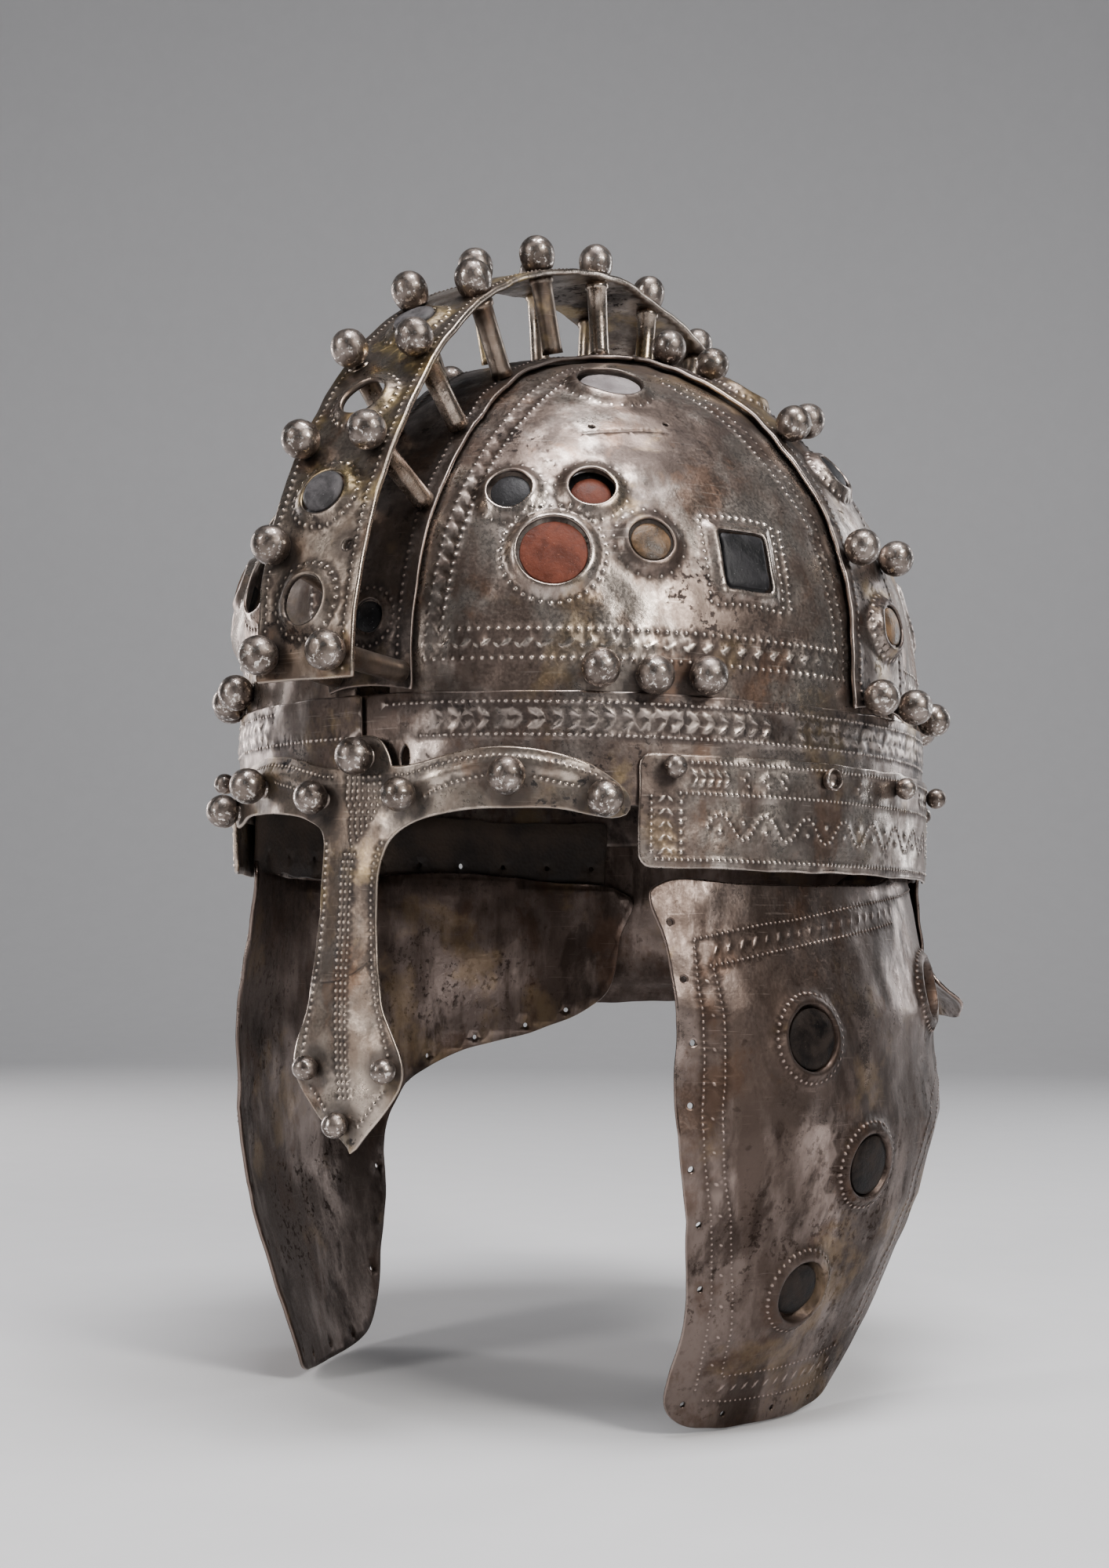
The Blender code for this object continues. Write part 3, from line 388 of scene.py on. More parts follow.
def circle(radius, count, radius_y=None):
    a = TAU * np.arange(count) / count
    return np.stack([radius * np.cos(a), (radius_y or radius) * np.sin(a)], axis=1)


def rectangle(half_x, half_y, corner, steps=6):
    points = []
    for k, (sx, sy) in enumerate(((1, 1), (-1, 1), (-1, -1), (1, -1))):
        for i in range(steps + 1):
            a = math.radians(90 * (k + i / steps))
            points.append((
                sx * (half_x - corner) + corner * math.cos(a), sy * (half_y - corner) + corner * math.sin(a)
            ))
    return np.array(points)


def curved(points, corners, steps=8):
    """A closed smooth curve through points, sharp at the corners given by index."""
    points = rows_of(points)
    n = len(points)
    out = []
    for i in range(n):
        before, start, end, after = points[i - 1], points[i], points[(i + 1) % n], points[(i + 2) % n]
        span = np.linalg.norm(end - start)
        reach0 = 0 if i in corners else span / (np.linalg.norm(end - before) + 1e-9)
        reach1 = 0 if (i + 1) % n in corners else span / (np.linalg.norm(after - start) + 1e-9)
        pull0 = (end - before) * reach0 if reach0 else (end - start)
        pull1 = (after - start) * reach1 if reach1 else (end - start)
        for k in range(steps):
            s = k / steps
            h = (2 * s**3 - 3 * s**2 + 1, s**3 - 2 * s**2 + s, 3 * s**2 - 2 * s**3, s**3 - s**2)
            out.append(h[0] * start + h[1] * pull0 + h[2] * end + h[3] * pull1)
    return np.array(out)


def resampled(path, solid, spacing, closed, least):
    """The path's points an even distance apart, as measured between the solid points that go with them."""
    run = np.concatenate([[0], np.cumsum(np.linalg.norm(np.diff(solid, axis=0), axis=1))])
    count = max(least, round(run[-1] / spacing))
    want = np.linspace(0, run[-1], count + 1)[: count if closed else None]
    return np.stack([np.interp(want, run, column) for column in path.T], axis=1)


def even(points, spacing, closed=True):
    """The line or loop with a point about every spacing."""
    points = rows_of(points)
    if closed:
        points = np.vstack([points, points[:1]])
    return resampled(points, points, spacing, closed, 3)


def on_surface(surface, path, spacing, closed=False):
    """Map points an even distance apart along a path of map points, measured on the surface."""
    path = even(path, 0.5, closed)
    if closed:
        path = np.vstack([path, path[:1]])
    return resampled(path, surface.at(path), spacing, closed, 1)


def inset(loop, distance):
    """A counter-clockwise loop moved inwards."""
    side = np.roll(loop, -1, axis=0) - np.roll(loop, 1, axis=0)
    side /= np.maximum(np.linalg.norm(side, axis=1, keepdims=True), 1e-9)
    return loop + np.stack([-side[:, 1], side[:, 0]], axis=1) * distance


def inside(loop, points):
    x, y = points.T
    odd = np.zeros(len(points), bool)
    for (x0, y0), (x1, y1) in zip(loop, np.roll(loop, -1, axis=0)):
        if y0 != y1:
            odd ^= ((y0 > y) != (y1 > y)) & (x < (x1 - x0) * (y - y0) / (y1 - y0) + x0)
    return odd


def clearance(loop, points):
    best = np.full(len(points), np.inf)
    for start, end in zip(loop, np.roll(loop, -1, axis=0)):
        side = end - start
        s = np.clip((points - start) @ side / max(side @ side, 1e-12), 0, 1)
        best = np.minimum(best, np.hypot(*(points - start - s[:, None] * side).T))
    return best


def between(loops, points, gap=0.0):
    """Numbers of the points inside the first loop, outside the others and over the gap from them all."""
    left = np.arange(len(points))
    for k, loop in enumerate(loops):
        left = left[inside(loop, points[left]) == (k == 0)]
        if gap:
            left = left[clearance(loop, points[left]) > gap]
    return left


def in_parts(work, points):
    """What work makes of the points, done for 3,000 of them at a time to keep its tables small."""
    return np.concatenate([work(points[i:i + 3000]) for i in range(0, len(points), 3000)])


def anticlockwise(loop):
    x, y = loop.T
    return loop if (x * np.roll(y, -1) - y * np.roll(x, -1)).sum() > 0 else loop[::-1]


# ---------------------------------------------------------------- punched marks


class Marks:
    """Punched dots and leaves: middle on the map, half sizes, turn in the tangent plane, height."""

    def __init__(self, surface):
        self.surface = surface
        self.rows = []
        self.grooves = []
        self.rng = np.random.default_rng(21)

    def add(self, maps, half_x, half_y, turn, height):
        maps = rows_of(maps)
        turns = np.broadcast_to(np.asarray(turn, float), len(maps))
        for (p, q), angle in zip(maps, turns):
            wild = self.rng.uniform(0.86, 1.14)
            self.rows.append((p, q, half_x * wild, half_y * wild, angle, height * wild))

    def dots(self, path, spacing, radius, height, closed=False):
        self.add(on_surface(self.surface, path, spacing, closed), radius, radius, 0.0, height)

    def headed(self, path, spacing):
        """Map points along a path, the same in space, their tangent axes and the path's heading there."""
        spots = on_surface(self.surface, path, spacing)
        solid = self.surface.at(spots)
        x, y, _ = self.surface.axes(spots)
        way = np.gradient(solid, axis=0)
        return spots, solid, x, y, np.arctan2((way * y).sum(axis=1), (way * x).sum(axis=1))

    def leaves(self, path, spacing, half, angle, height):
        """Leaf marks along a path, each turned by the angle from the path's heading."""
        spots, *_, heading = self.headed(path, spacing)
        self.add(spots, *half, heading + math.radians(angle), height)

    def chevrons(self, path, spacing, arm, half_width, angle, height, back=False):
        """Pairs of leaves that meet in points along the path, or back along it."""
        _, solid, x, y, heading = self.headed(path, spacing)
        for sign in (1, -1):
            turn = heading + (math.pi if back else 0) + sign * math.radians(180 - angle)
            middle = solid + arm * 1.02 * (np.cos(turn)[:, None] * x + np.sin(turn)[:, None] * y)
            self.add(self.surface.find(middle), arm, half_width, turn, height)

    def groove(self, path, depth=0.3):
        self.grooves.append((on_surface(self.surface, path, 0.6), depth))

    def solve(self):
        table = np.array(self.rows, float).reshape(-1, 6)
        self.maps = table[:, :2]
        self.half = table[:, 2:4]
        self.height = table[:, 5]
        self.centre = self.surface.at(self.maps)
        x, y, _ = self.surface.axes(self.maps)
        c, s = np.cos(table[:, 4:5]), np.sin(table[:, 4:5])
        self.x, self.y = x * c + y * s, y * c - x * s

    def points(self):
        """Map points that draw each mark: its middle and two rings."""
        if not self.rows:
            return np.zeros((0, 2))
        found = [self.maps]
        for share, count in ((0.6, 6), (1.25, 8)):
            for a in (np.arange(count) + share) * TAU / count:
                out = self.x * (self.half[:, :1] * share * math.cos(a))
                out = out + self.y * (self.half[:, 1:] * share * math.sin(a))
                found.append(self.surface.find(self.centre + out))
        long = self.half[:, 0] > 1.6 * self.half[:, 1]
        for share in (-0.62, 0.62):
            out = self.x[long] * (self.half[long, :1] * share)
            found.append(self.surface.find(self.centre[long] + out))
        for path, _ in self.grooves:
            side = np.gradient(path, axis=0)
            side /= np.linalg.norm(side, axis=1, keepdims=True)
            across = side[:, ::-1] * [-1, 1]
            found += [path, path + across * 0.4, path - across * 0.4]
        return np.vstack(found)

    def squares(self, solid, grow=0.0):
        """Squared distance of each point from each mark, in the mark's half sizes."""
        off = solid[:, None, :] - self.centre[None]
        u = (off * self.x[None]).sum(axis=2) / (self.half[:, 0] + grow)
        v = (off * self.y[None]).sum(axis=2) / (self.half[:, 1] + grow)
        return u * u + v * v

    def measure(self, solid):
        """Height, share of a dot's own height and dirt round it, at points on the bare surface."""
        if not self.rows:
            return np.zeros((3, len(solid)))

        def punched(part):
            squares = self.squares(part)
            shape = np.clip(1 - squares / 1.5, 0, 1) ** 1.4
            signed = shape * self.height
            ring = np.clip(1 - np.abs(np.sqrt(squares) - 1.35) / 0.75, 0, 1)
            raised = shape * (self.height > 0)
            total = signed.max(axis=1) + signed.min(axis=1)
            return np.stack([total, raised.max(axis=1), ring.max(axis=1)], 1)

        height, worn, grime_and_shade = in_parts(punched, solid).T
        for path, depth in self.grooves:
            line = self.surface.at(path)
            near = in_parts(lambda part: np.linalg.norm(part[:, None] - line, axis=2).min(axis=1), solid)
            cut = np.clip(1 - near / 0.42, 0, 1)
            height = height - depth * cut
            grime_and_shade = np.maximum(grime_and_shade, cut)
        return height, worn, grime_and_shade


# ---------------------------------------------------------------- meshes


class Piece:
    """Collects the faces of what replaces one node, in millimetres, then makes its object."""

    def __init__(self, node):
        self.node = node
        self.points, self.faces, self.slots, self.worn, self.grime_and_shade = [], [], [], [], []
        self.count = 0

    def join(self, faces, slot=0):
        self.faces += [[int(i) for i in face] for face in faces]
        self.slots += [slot] * len(faces)

    def add(self, points, faces, slot, worn, grime_and_shade):
        self.join([[i + self.count for i in face] for face in faces], slot)
        self.points.append(points)
        self.worn.append(np.broadcast_to(worn, len(points)))
        self.grime_and_shade.append(np.broadcast_to(grime_and_shade, len(points)))
        self.count += len(points)

    def put(self, shape, place, slot=0, worn=0.0, grime_and_shade=0.0):
        """Adds the points and faces of a shape at a place, which is an origin and axes."""
        origin, axes = place
        self.add(shape[0] @ axes + origin, shape[1], slot, worn, grime_and_shade)

    def make(self, materials):
        node = self.node
        points = np.clip(np.vstack(self.points) * MM, *CAD_BOX)
        mesh = bpy.data.meshes.new(node + ".look")
        mesh.from_pydata(points.tolist(), [], self.faces)
        for material in materials:
            mesh.materials.append(material)
        mesh.polygons.foreach_set("material_index", self.slots)
        for name, values in (("worn", self.worn), ("grime_and_shade", self.grime_and_shade)):
            layer = mesh.attributes.new(name, "FLOAT", "POINT")
            layer.data.foreach_set("value", np.concatenate(values).astype(np.float32))
        mesh.shade_smooth()
        mesh.validate()
        obj = bpy.data.objects.new(node + ".look", mesh)
        bpy.context.scene.collection.objects.link(obj)
        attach(obj, "root")
        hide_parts(node)


def triangulated(loops, extra):
    """Triangles of a flat plate between its border and its holes, and where its points have gone."""
    points = np.vstack([*loops, extra])
    edges, start = [], 0
    for loop in loops:
        edges += [(start + i, start + (i + 1) % len(loop)) for i in range(len(loop))]
        start += len(loop)
    made = delaunay_2d_cdt([Vector(p) for p in points], edges, [], 0, 1e-5)
    flat = np.array([tuple(v) for v in made[0]])
    faces = np.array([f for f in made[2] if len(f) == 3])
    index = np.zeros(len(points), int)
    for new, olds in enumerate(made[3]):
        index[olds] = new
    return flat, faces[between(loops, flat[faces].mean(axis=1))], index


def grid(loops, spacing, gap):
    low, high = loops[0].min(axis=0), loops[0].max(axis=0)
    step = spacing * math.sqrt(3) / 2
    rows = []
    for i, y in enumerate(np.arange(low[1] + step / 2, high[1], step)):
        xs = np.arange(low[0] + (spacing / 2 if i % 2 else 0), high[0], spacing)
        rows.append(np.stack([xs, np.full(len(xs), y)], axis=1))
    points = np.vstack(rows)
    return points[between(loops, points, gap)]


def sheet(
    piece, surface, border, thick, marks, holes, lift, spacing, dents=(0.13, 0.3),
    wobble=0.14, blind=(), stains=(), pale=(), edge=(0.72, 0.0), low_shade=0.0,
):
    """Adds a bent plate: a fine outer face with its marks, a coarser inner face, and a rounded edge. The
    inner face is plain where there are blind holes. Dirt gathers round stains of (map point, radius), and
    pale runs are rows of the same kind. The edge is (wear, darkening), and that darkening is painted shade.
    Hole walls, blind seats and the inner face are darkened as painted shade. Low shade darkens the guards
    downwards as painted shade."""
    border = anticlockwise(even(border, 1.5))
    border = inset(border, (EDGE_WAVE(surface.at(border)) * wobble)[:, None])
    through = [border, *map(anticlockwise, holes)]
    blind = [anticlockwise(hole) for hole in blind]
    loops = through + blind
    marks.solve()
    bank = [inset(border, 0.5)] + [inset(hole, -0.5) for hole in loops[1:]]
    bank += [inset(hole, -width) for hole in loops[1:] for width in (1.3, 2.4, 3.6) if len(hole) > 14]
    drawn = np.vstack([marks.points(), *bank])
    drawn = drawn[between(loops, drawn, 0.3)]
    base = grid(loops, spacing, 0.9)
    if marks.rows:
        far = in_parts(lambda part: marks.squares(part, 0.35).min(axis=1) > 1.6, surface.at(base))
        base = base[far]

    def raised(maps, depth):
        solid = surface.at(maps)
        up = lift(maps, solid) if lift and not (depth and blind) else np.zeros(len(maps))
        height, worn, grime_and_shade = (0, 0, 0) if depth else marks.measure(solid)
        up = up + dents[0] * HAMMER(solid) + dents[1] * BUCKLE(solid) + height - depth
        return solid + surface.normal(maps) * up[:, None], worn, grime_and_shade

    def from_spot(solid, centre):
        return np.linalg.norm(solid - surface.at(centre), axis=1)

    # Painted shade: darker downwards with lumpy bounds, as the lower guards lie away from the light.
    def painted_low_shade(solid):
        return low_shade * smooth((-62 - solid[:, 2] + 14 * LUMPS(solid * 0.12)) / 62)

    flat, faces, index = triangulated(loops, np.vstack([drawn, base]))
    outer, worn, grime_and_shade = raised(flat, 0)
    for centre, radius in stains:
        grime_and_shade = np.maximum(grime_and_shade, smooth(1 - (from_spot(outer, centre) - radius) / 3.0))
    for centre, radius in pale:
        away = from_spot(outer, centre) + 1.2 * LUMPS(outer)
        worn = np.maximum(worn, 0.62 * smooth(1 - (away - radius) / 1.8))
    for k, loop in enumerate(loops):
        share = 0.42 if k else 0.83 * edge[0]
        worn = np.maximum(worn, share * np.clip(1 - clearance(loop, flat) / 0.35, 0, 1))
    inner_flat, inner_faces, inner_index = triangulated(through, grid(through, spacing * 1.7, 1.2))
    inner = raised(inner_flat, thick)[0]
    start = piece.count
    piece.add(outer, faces, 0, worn, np.maximum(grime_and_shade, painted_low_shade(outer)))
    inner_start = piece.count
    # The inner face is darkened throughout as painted shade of the inside, and more downwards on the guards.
    piece.add(inner, inner_faces[:, ::-1], 0, 0.0, np.maximum(0.5 - 0.3 * low_shade, 1.25 * painted_low_shade(inner)))
    first = sum(len(loop) for loop in through)
    for loop in blind:
        n = len(loop)
        seat = np.vstack([loop, loop.mean(axis=0)])
        here = piece.count
        # The seat's floor is darkened fully as painted shadow under the stone.
        piece.add(surface.at(seat) - surface.normal(seat) * 0.45, [], 0, 0.0, 1.0)
        for i in range(n):
            j = (i + 1) % n
            a, b = start + index[[first + i, first + j]]
            piece.join([(a, b, here + j, here + i), (here + i, here + j, here + n)])
        first += n
    first = 0
    for k, loop in enumerate(through):
        rows = slice(first, first + len(loop))
        first += len(loop)
        top, foot = outer[index[rows]], inner[inner_index[rows]]
        away = np.cross(np.roll(top, -1, axis=0) - np.roll(top, 1, axis=0), top - foot)
        away /= np.maximum(np.linalg.norm(away, axis=1, keepdims=True), 1e-9)
        a, c, m = start + index[rows], inner_start + inner_index[rows], piece.count + np.arange(len(loop))
        b, d, o = (np.roll(ring, -1) for ring in (a, c, m))
        middle = (top + foot) / 2 + away * thick * (-0.1 if k else 0.2)
        # Hole walls are darkened fully as painted shadow in the holes; the border's edge takes the given
        # pair.
        piece.add(middle, [], 0, *((0.0, 1.0) if k else edge))
        quads = np.array([(b, a, m, o), (o, m, c, d)]).transpose(2, 0, 1).reshape(-1, 4)
        piece.join(quads[:, ::-1] if k else quads)


def lathe(profile, sides, lumps=0.0, seed=0.0):
    """Points and faces of a profile of (radius, height) turned about Z, from its top to its foot."""
    rings = []
    for radius, z in profile:
        ring = circle(radius, sides) if radius else np.zeros((1, 2))
        rings.append(np.column_stack([ring, np.full(len(ring), z)]))
    points = np.vstack(rings)
    if lumps:
        size = np.linalg.norm(points, axis=1, keepdims=True) + 1e-9
        points = points + points / size * lumps * LUMPS(points + seed)[:, None]
    faces = []
    a = 0
    for upper, lower in zip(rings, rings[1:]):
        b = a + len(upper)
        for i in range(sides):
            j = (i + 1) % sides
            if len(upper) == 1:
                faces.append((a, b + i, b + j))
            elif len(lower) == 1:
                faces.append((a + i, b, a + j))
            else:
                faces.append((a + i, b + i, b + j, a + j))
        a = b
    return points, faces


def ball_profile(radius, straight=0.0, foot=0.0, foot_z=0.0):
    """A beaten ball, straight-sided like a thimble if asked, with a stem down to foot_z if it has a foot."""
    profile = []
    for angle in np.radians(np.linspace(0, 90, 9)):
        profile.append((radius * math.sin(angle), radius * math.cos(angle)))
    low = 180 - math.degrees(math.asin(foot / radius)) if foot else 150
    for angle in np.radians(np.linspace(98, low, 6)):
        wide = math.sin(angle) + (1 - math.sin(angle)) * straight
        profile.append((radius * wide, radius * math.cos(angle)))
    if not foot:
        return profile + [(0.0, -radius * 1.05)]
    neck = profile[-1][1]
    profile += [(foot * 1.25, neck - 0.2), (foot * 1.25, neck - 1.1), (foot, neck - 1.4)]
    return profile + [(foot, foot_z), (0.0, foot_z)]


def add_ball(piece, surface, centre, radius):
    place = surface.place(centre, radius)
    piece.put(lathe(ball_profile(radius), 26, 0.004 * radius, place[0].sum()), place, 1)


# ---------------------------------------------------------------- materials


class Nodes:
    """Short names for the shader nodes that the materials use."""

    def __init__(self, name):
        self.material = bpy.data.materials.new(name)
        self.material.use_nodes = True
        self.tree = self.material.node_tree
        self.shader = self.tree.nodes["Principled BSDF"]
        self.coords = self.node("TexCoord", {}).outputs["Object"]

    def link(self, value, socket):
        if isinstance(value, bpy.types.NodeSocket):
            self.tree.links.new(value, socket)
        else:
            socket.default_value = value

    def node(self, kind, inputs, **settings):
        """A new node with these settings, and its inputs, by name or number, joined or filled."""
        made = self.tree.nodes.new("ShaderNode" + kind)
        for key, value in settings.items():
            setattr(made, key, value)
        for key, value in inputs.items():
            self.link(value, made.inputs[key])
        return made

    def noise(self, scale, detail, rough=0.55, distort=0.0, offset=None, stretch=(1, 1, 1)):
        place = self.coords
        if offset:
            place = self.node("Mapping", {"Scale": stretch, "Location": offset, "Vector": place}).outputs[0]
        inputs = {"Vector": place, "Scale": scale, "Detail": detail}
        inputs |= {"Roughness": rough, "Distortion": distort}
        return self.node("TexNoise", inputs).outputs["Fac"]

    def ramp(self, value, low, high, out_low=0.0, out_high=1.0):
        inputs = {"Value": value, "From Min": low, "From Max": high, "To Min": out_low, "To Max": out_high}
        return self.node("MapRange", inputs, interpolation_type="SMOOTHSTEP").outputs["Result"]

    def math(self, how, a, b):
        return self.node("Math", {0: a, 1: b}, operation=how, use_clamp=how != "MULTIPLY").outputs[0]

    def mix(self, share, a, b):
        a, b = (color if isinstance(color, bpy.types.NodeSocket) else (*color, 1) for color in (a, b))
        return self.node("Mix", {0: share, 6: a, 7: b}, data_type="RGBA").outputs[2]

    def attribute(self, name):
        return self.node("Attribute", {}, attribute_name=name).outputs["Fac"]

    def bump(self, *heights):
        """Chained bumps of (height socket, depth in metres, strength)."""
        normal = {}
        for value, depth, strength in heights:
            inputs = {"Strength": strength, "Distance": depth, "Height": value, **normal}
            normal = {"Normal": self.node("Bump", inputs).outputs[0]}
        self.link(normal["Normal"], self.shader.inputs["Normal"])

    def set(self, **values):
        for name, value in values.items():
            self.link(value, self.shader.inputs[name.replace("_", " ")])
        return self.material


def beaten_silver(name, bright, mid, dark, gilt, gilt_share, stain, rough, smoky=0.6, drip=1.0, pits=0.85):
    """Tarnished sheet: bright where worn and where painted light is laid on, brown and grey stains, dark dirt
    round marks, painted shade in holes, gaps, insides and low parts, gilt traces.
    """
    n = Nodes(name)
    cloud = n.noise(20, 7, 0.64, 0.3, (0, 6, 0), (1, 1, drip))
    patch = n.noise(62, 6, 0.64, 0.3, (3, 1, 2), (1, 1, 0.9 * drip))
    streak = n.noise(150, 5, 0.6, 0.1, (5, 0, 1), (1, 1, 0.14))
    smoke = n.noise(34, 7, 0.64, 0.25, (2, 7, 5), (1, 1, drip))
    fleck = n.noise(300, 6, 0.7, 0.1, (9, 4, 0))
    brown = n.noise(46, 6, 0.64, 0.2, (6, 2, 9), (1, 1, 0.7))
    gold = n.noise(28, 5, 0.62, 0.2, (0, 3, 8))
    scratch = n.noise(60, 2, 0.5, 0, (1, 1, 4), (1.2, 1.2, 30))
    grain = n.noise(1100, 3, 0.6)
    grime_and_shade, worn = n.attribute("grime_and_shade"), n.attribute("worn")
    field = n.ramp(n.noise(26, 3, 0.5, 0, (4, 4, 4)), 0.5, 0.6)
    spots = n.math("MULTIPLY", n.ramp(n.noise(520, 4, 0.6), 0.52, 0.58), field)
    spots = n.math("MULTIPLY", spots, n.ramp(n.noise(150, 4, 0.6), 0.45, 0.55))
    tone = n.math("ADD", n.math("MULTIPLY", cloud, 0.5), n.math("MULTIPLY", patch, 0.32))
    tone = n.math("ADD", tone, n.math("MULTIPLY", streak, 0.18))
    color = n.mix(n.ramp(tone, *stain), mid, bright)
    for share, over in (
        (n.ramp(smoke, 0.52, 0.60, 0, smoky), dark),
        (n.ramp(fleck, 0.58, 0.68, 0, 0.5), dark),
        (n.math("MULTIPLY", spots, pits), dark),
        (n.ramp(brown, 0.54, 0.64, 0, 0.6), np.multiply(mid, (1.0, 0.78, 0.62))),
        (n.ramp(gold, 0.55, 0.66, 0, gilt_share), gilt),
        (n.ramp(scratch, 0.66, 0.72, 0, 0.35), bright),
        # Dirt round marks, and painted shade in holes, gaps, insides and low parts, darken the colour.
        (n.math("MULTIPLY", grime_and_shade, 0.66), dark),
        # Wear brightens the colour, and painted light does the same on the crest posts.
        (n.ramp(worn, 0.35, 0.9, 0, 0.8), np.minimum(1.0, np.multiply(bright, 1.35))),
    ):
        color = n.mix(share, color, over)
    shine = n.ramp(tone, *stain, rough[1], rough[0])
    for value in (
        n.ramp(grain, 0.3, 0.7, 0, 0.1), n.ramp(smoke, 0.52, 0.60, 0, 0.1), n.math("MULTIPLY", spots, 0.25),
        n.math("MULTIPLY", grime_and_shade, 0.14),
    ):
        shine = n.math("ADD", shine, value)
    shine = n.math("SUBTRACT", shine, n.math("MULTIPLY", worn, 0.1))
    n.bump(
        (n.noise(120, 3, 0.5), 0.0006, 0.26), (n.noise(420, 4, 0.6), 0.00016, 0.45),
        (fleck, 0.00014, 0.35), (grain, 0.00005, 0.4),
    )
    return n.set(Base_Color=color, Metallic=1.0, Roughness=shine)


def pitted_silver():
    n = Nodes("pitted_silver")
    pits = n.noise(800, 4, 0.65)
    blotch = n.noise(240, 4, 0.6, 0.2)
    cloud = n.noise(60, 4, 0.6)
    base = n.mix(n.ramp(blotch, 0.35, 0.65), (0.105, 0.084, 0.072), (0.26, 0.218, 0.192))
    color = n.mix(n.ramp(pits, 0.54, 0.62, 0, 0.85), base, (0.76, 0.70, 0.64))
    color = n.mix(n.ramp(cloud, 0.55, 0.7, 0, 0.5), color, (0.09, 0.068, 0.05))
    n.bump((pits, 0.0001, 0.6))
    return n.set(Base_Color=color, Metallic=1.0, Roughness=n.ramp(pits, 0.42, 0.62, 0.46, 0.25))


def stone(name, low, high, speck, rough, scale, gloss=0.32, coat=0.0):
    n = Nodes(name)
    cloud = n.noise(scale, 5, 0.62, 0.4)
    fine = n.noise(1500, 4, 0.7)
    color = n.mix(n.ramp(cloud, 0.35, 0.65), low, high)
    color = n.mix(n.ramp(fine, 0.64, 0.72), color, speck)
    n.bump((cloud, 0.0004, 0.4), (n.noise(650, 4, 0.65), 0.0003, 0.6), (fine, 0.00008, 0.6))
    shine = n.ramp(cloud, 0.3, 0.7, *rough)
    return n.set(Base_Color=color, Roughness=shine, Coat_Weight=coat, Specular_IOR_Level=gloss)


def leather():
    n = Nodes("old_leather")
    grain = n.node("TexVoronoi", {"Vector": n.coords, "Scale": 700}).outputs["Distance"]
    cloud = n.noise(45, 5, 0.6)
    color = n.mix(n.ramp(cloud, 0.35, 0.65), (0.018, 0.012, 0.009), (0.06, 0.04, 0.028))
    n.bump((cloud, 0.0008, 0.3), (grain, 0.0003, 0.5), (n.noise(1500, 3), 0.0001, 0.4))
    return n.set(Base_Color=color, Roughness=n.ramp(cloud, 0.3, 0.7, 0.62, 0.85))


SILVER = beaten_silver(
    "silver_bowl", (0.52, 0.45, 0.395), (0.185, 0.14, 0.117), (0.034, 0.027, 0.025), (0.42, 0.30, 0.17), 0.55,
    (0.45, 0.57), (0.20, 0.33),
)
# Lighter copy with more gilt for the brow and nasal: partly their own gilding and partly painted light,
# brightened to match highlights on the arch and nasal.
BROW_LIT_SILVER = beaten_silver(
    "silver_brow_lit", (0.50, 0.42, 0.35), (0.215, 0.165, 0.13), (0.027, 0.027, 0.030), (0.46, 0.34, 0.19), 0.85,
    (0.44, 0.57), (0.22, 0.35), 0.55,
)
CREST_SILVER = beaten_silver(
    "silver_crest", (0.43, 0.36, 0.30), (0.15, 0.115, 0.09), (0.026, 0.022, 0.022), (0.42, 0.31, 0.15), 0.9,
    (0.45, 0.58), (0.21, 0.35),
)
FRAME_SILVER = beaten_silver(
    "silver_frame", (0.42, 0.355, 0.315), (0.14, 0.106, 0.09), (0.026, 0.022, 0.022),
    (0.38, 0.275, 0.15), 0.6, (0.45, 0.58), (0.21, 0.35),
)
# Darker copy of the bowl silver for the ridge plate: painted shade, as its channel under the crest lies in
# shade.
RIDGE_SHADED_SILVER = beaten_silver(
    "silver_ridge_shaded", (0.27, 0.22, 0.195), (0.085, 0.066, 0.056), (0.018, 0.016, 0.016),
    (0.26, 0.19, 0.11), 0.4, (0.46, 0.60), (0.25, 0.42), 0.75,
)
# Darker, browner copy for the cheek and neck guards: partly their own browner tarnish and partly painted
# shade, darkened to match their shaded lower parts.
CHEEK_SHADED_SILVER = beaten_silver(
    "silver_cheek_shaded", (0.275, 0.215, 0.187), (0.105, 0.077, 0.064), (0.028, 0.019, 0.015),
    (0.31, 0.215, 0.12), 0.55, (0.46, 0.58), (0.23, 0.37), 0.7, 0.5, 0.5,
)
RIVET = pitted_silver()
LEATHER = leather()
STONES = {
    "dark": stone(
        "dark_glass", (0.005, 0.005, 0.0055), (0.017, 0.016, 0.0175), (0.14, 0.14, 0.15),
        (0.34, 0.55), 90, 0.22,
    ),
    "grey": stone(
        "grey_stone", (0.03, 0.028, 0.029), (0.085, 0.079, 0.081), (0.36, 0.35, 0.35),
        (0.5, 0.7), 220, 0.3,
    ),
    "brown": stone(
        "brown_glass", (0.0028, 0.0024, 0.0024), (0.022, 0.016, 0.013), (0.08, 0.065, 0.055),
        (0.36, 0.58), 130, 0.08,
    ),
    "red": stone(
        "red_stone", (0.075, 0.019, 0.01), (0.14, 0.036, 0.019), (0.34, 0.13, 0.08),
        (0.42, 0.6), 160, 0.2,
    ),
    "amber": stone(
        "amber_stone", (0.045, 0.03, 0.019), (0.19, 0.112, 0.058), (0.035, 0.022, 0.012),
        (0.25, 0.45), 120, 0.25,
    ),
    "pale": stone(
        "pale_stone", (0.2, 0.175, 0.175), (0.38, 0.345, 0.345), (0.14, 0.11, 0.10),
        (0.16, 0.32), 60, coat=0.4,
    ),
}

# ---------------------------------------------------------------- settings and stones


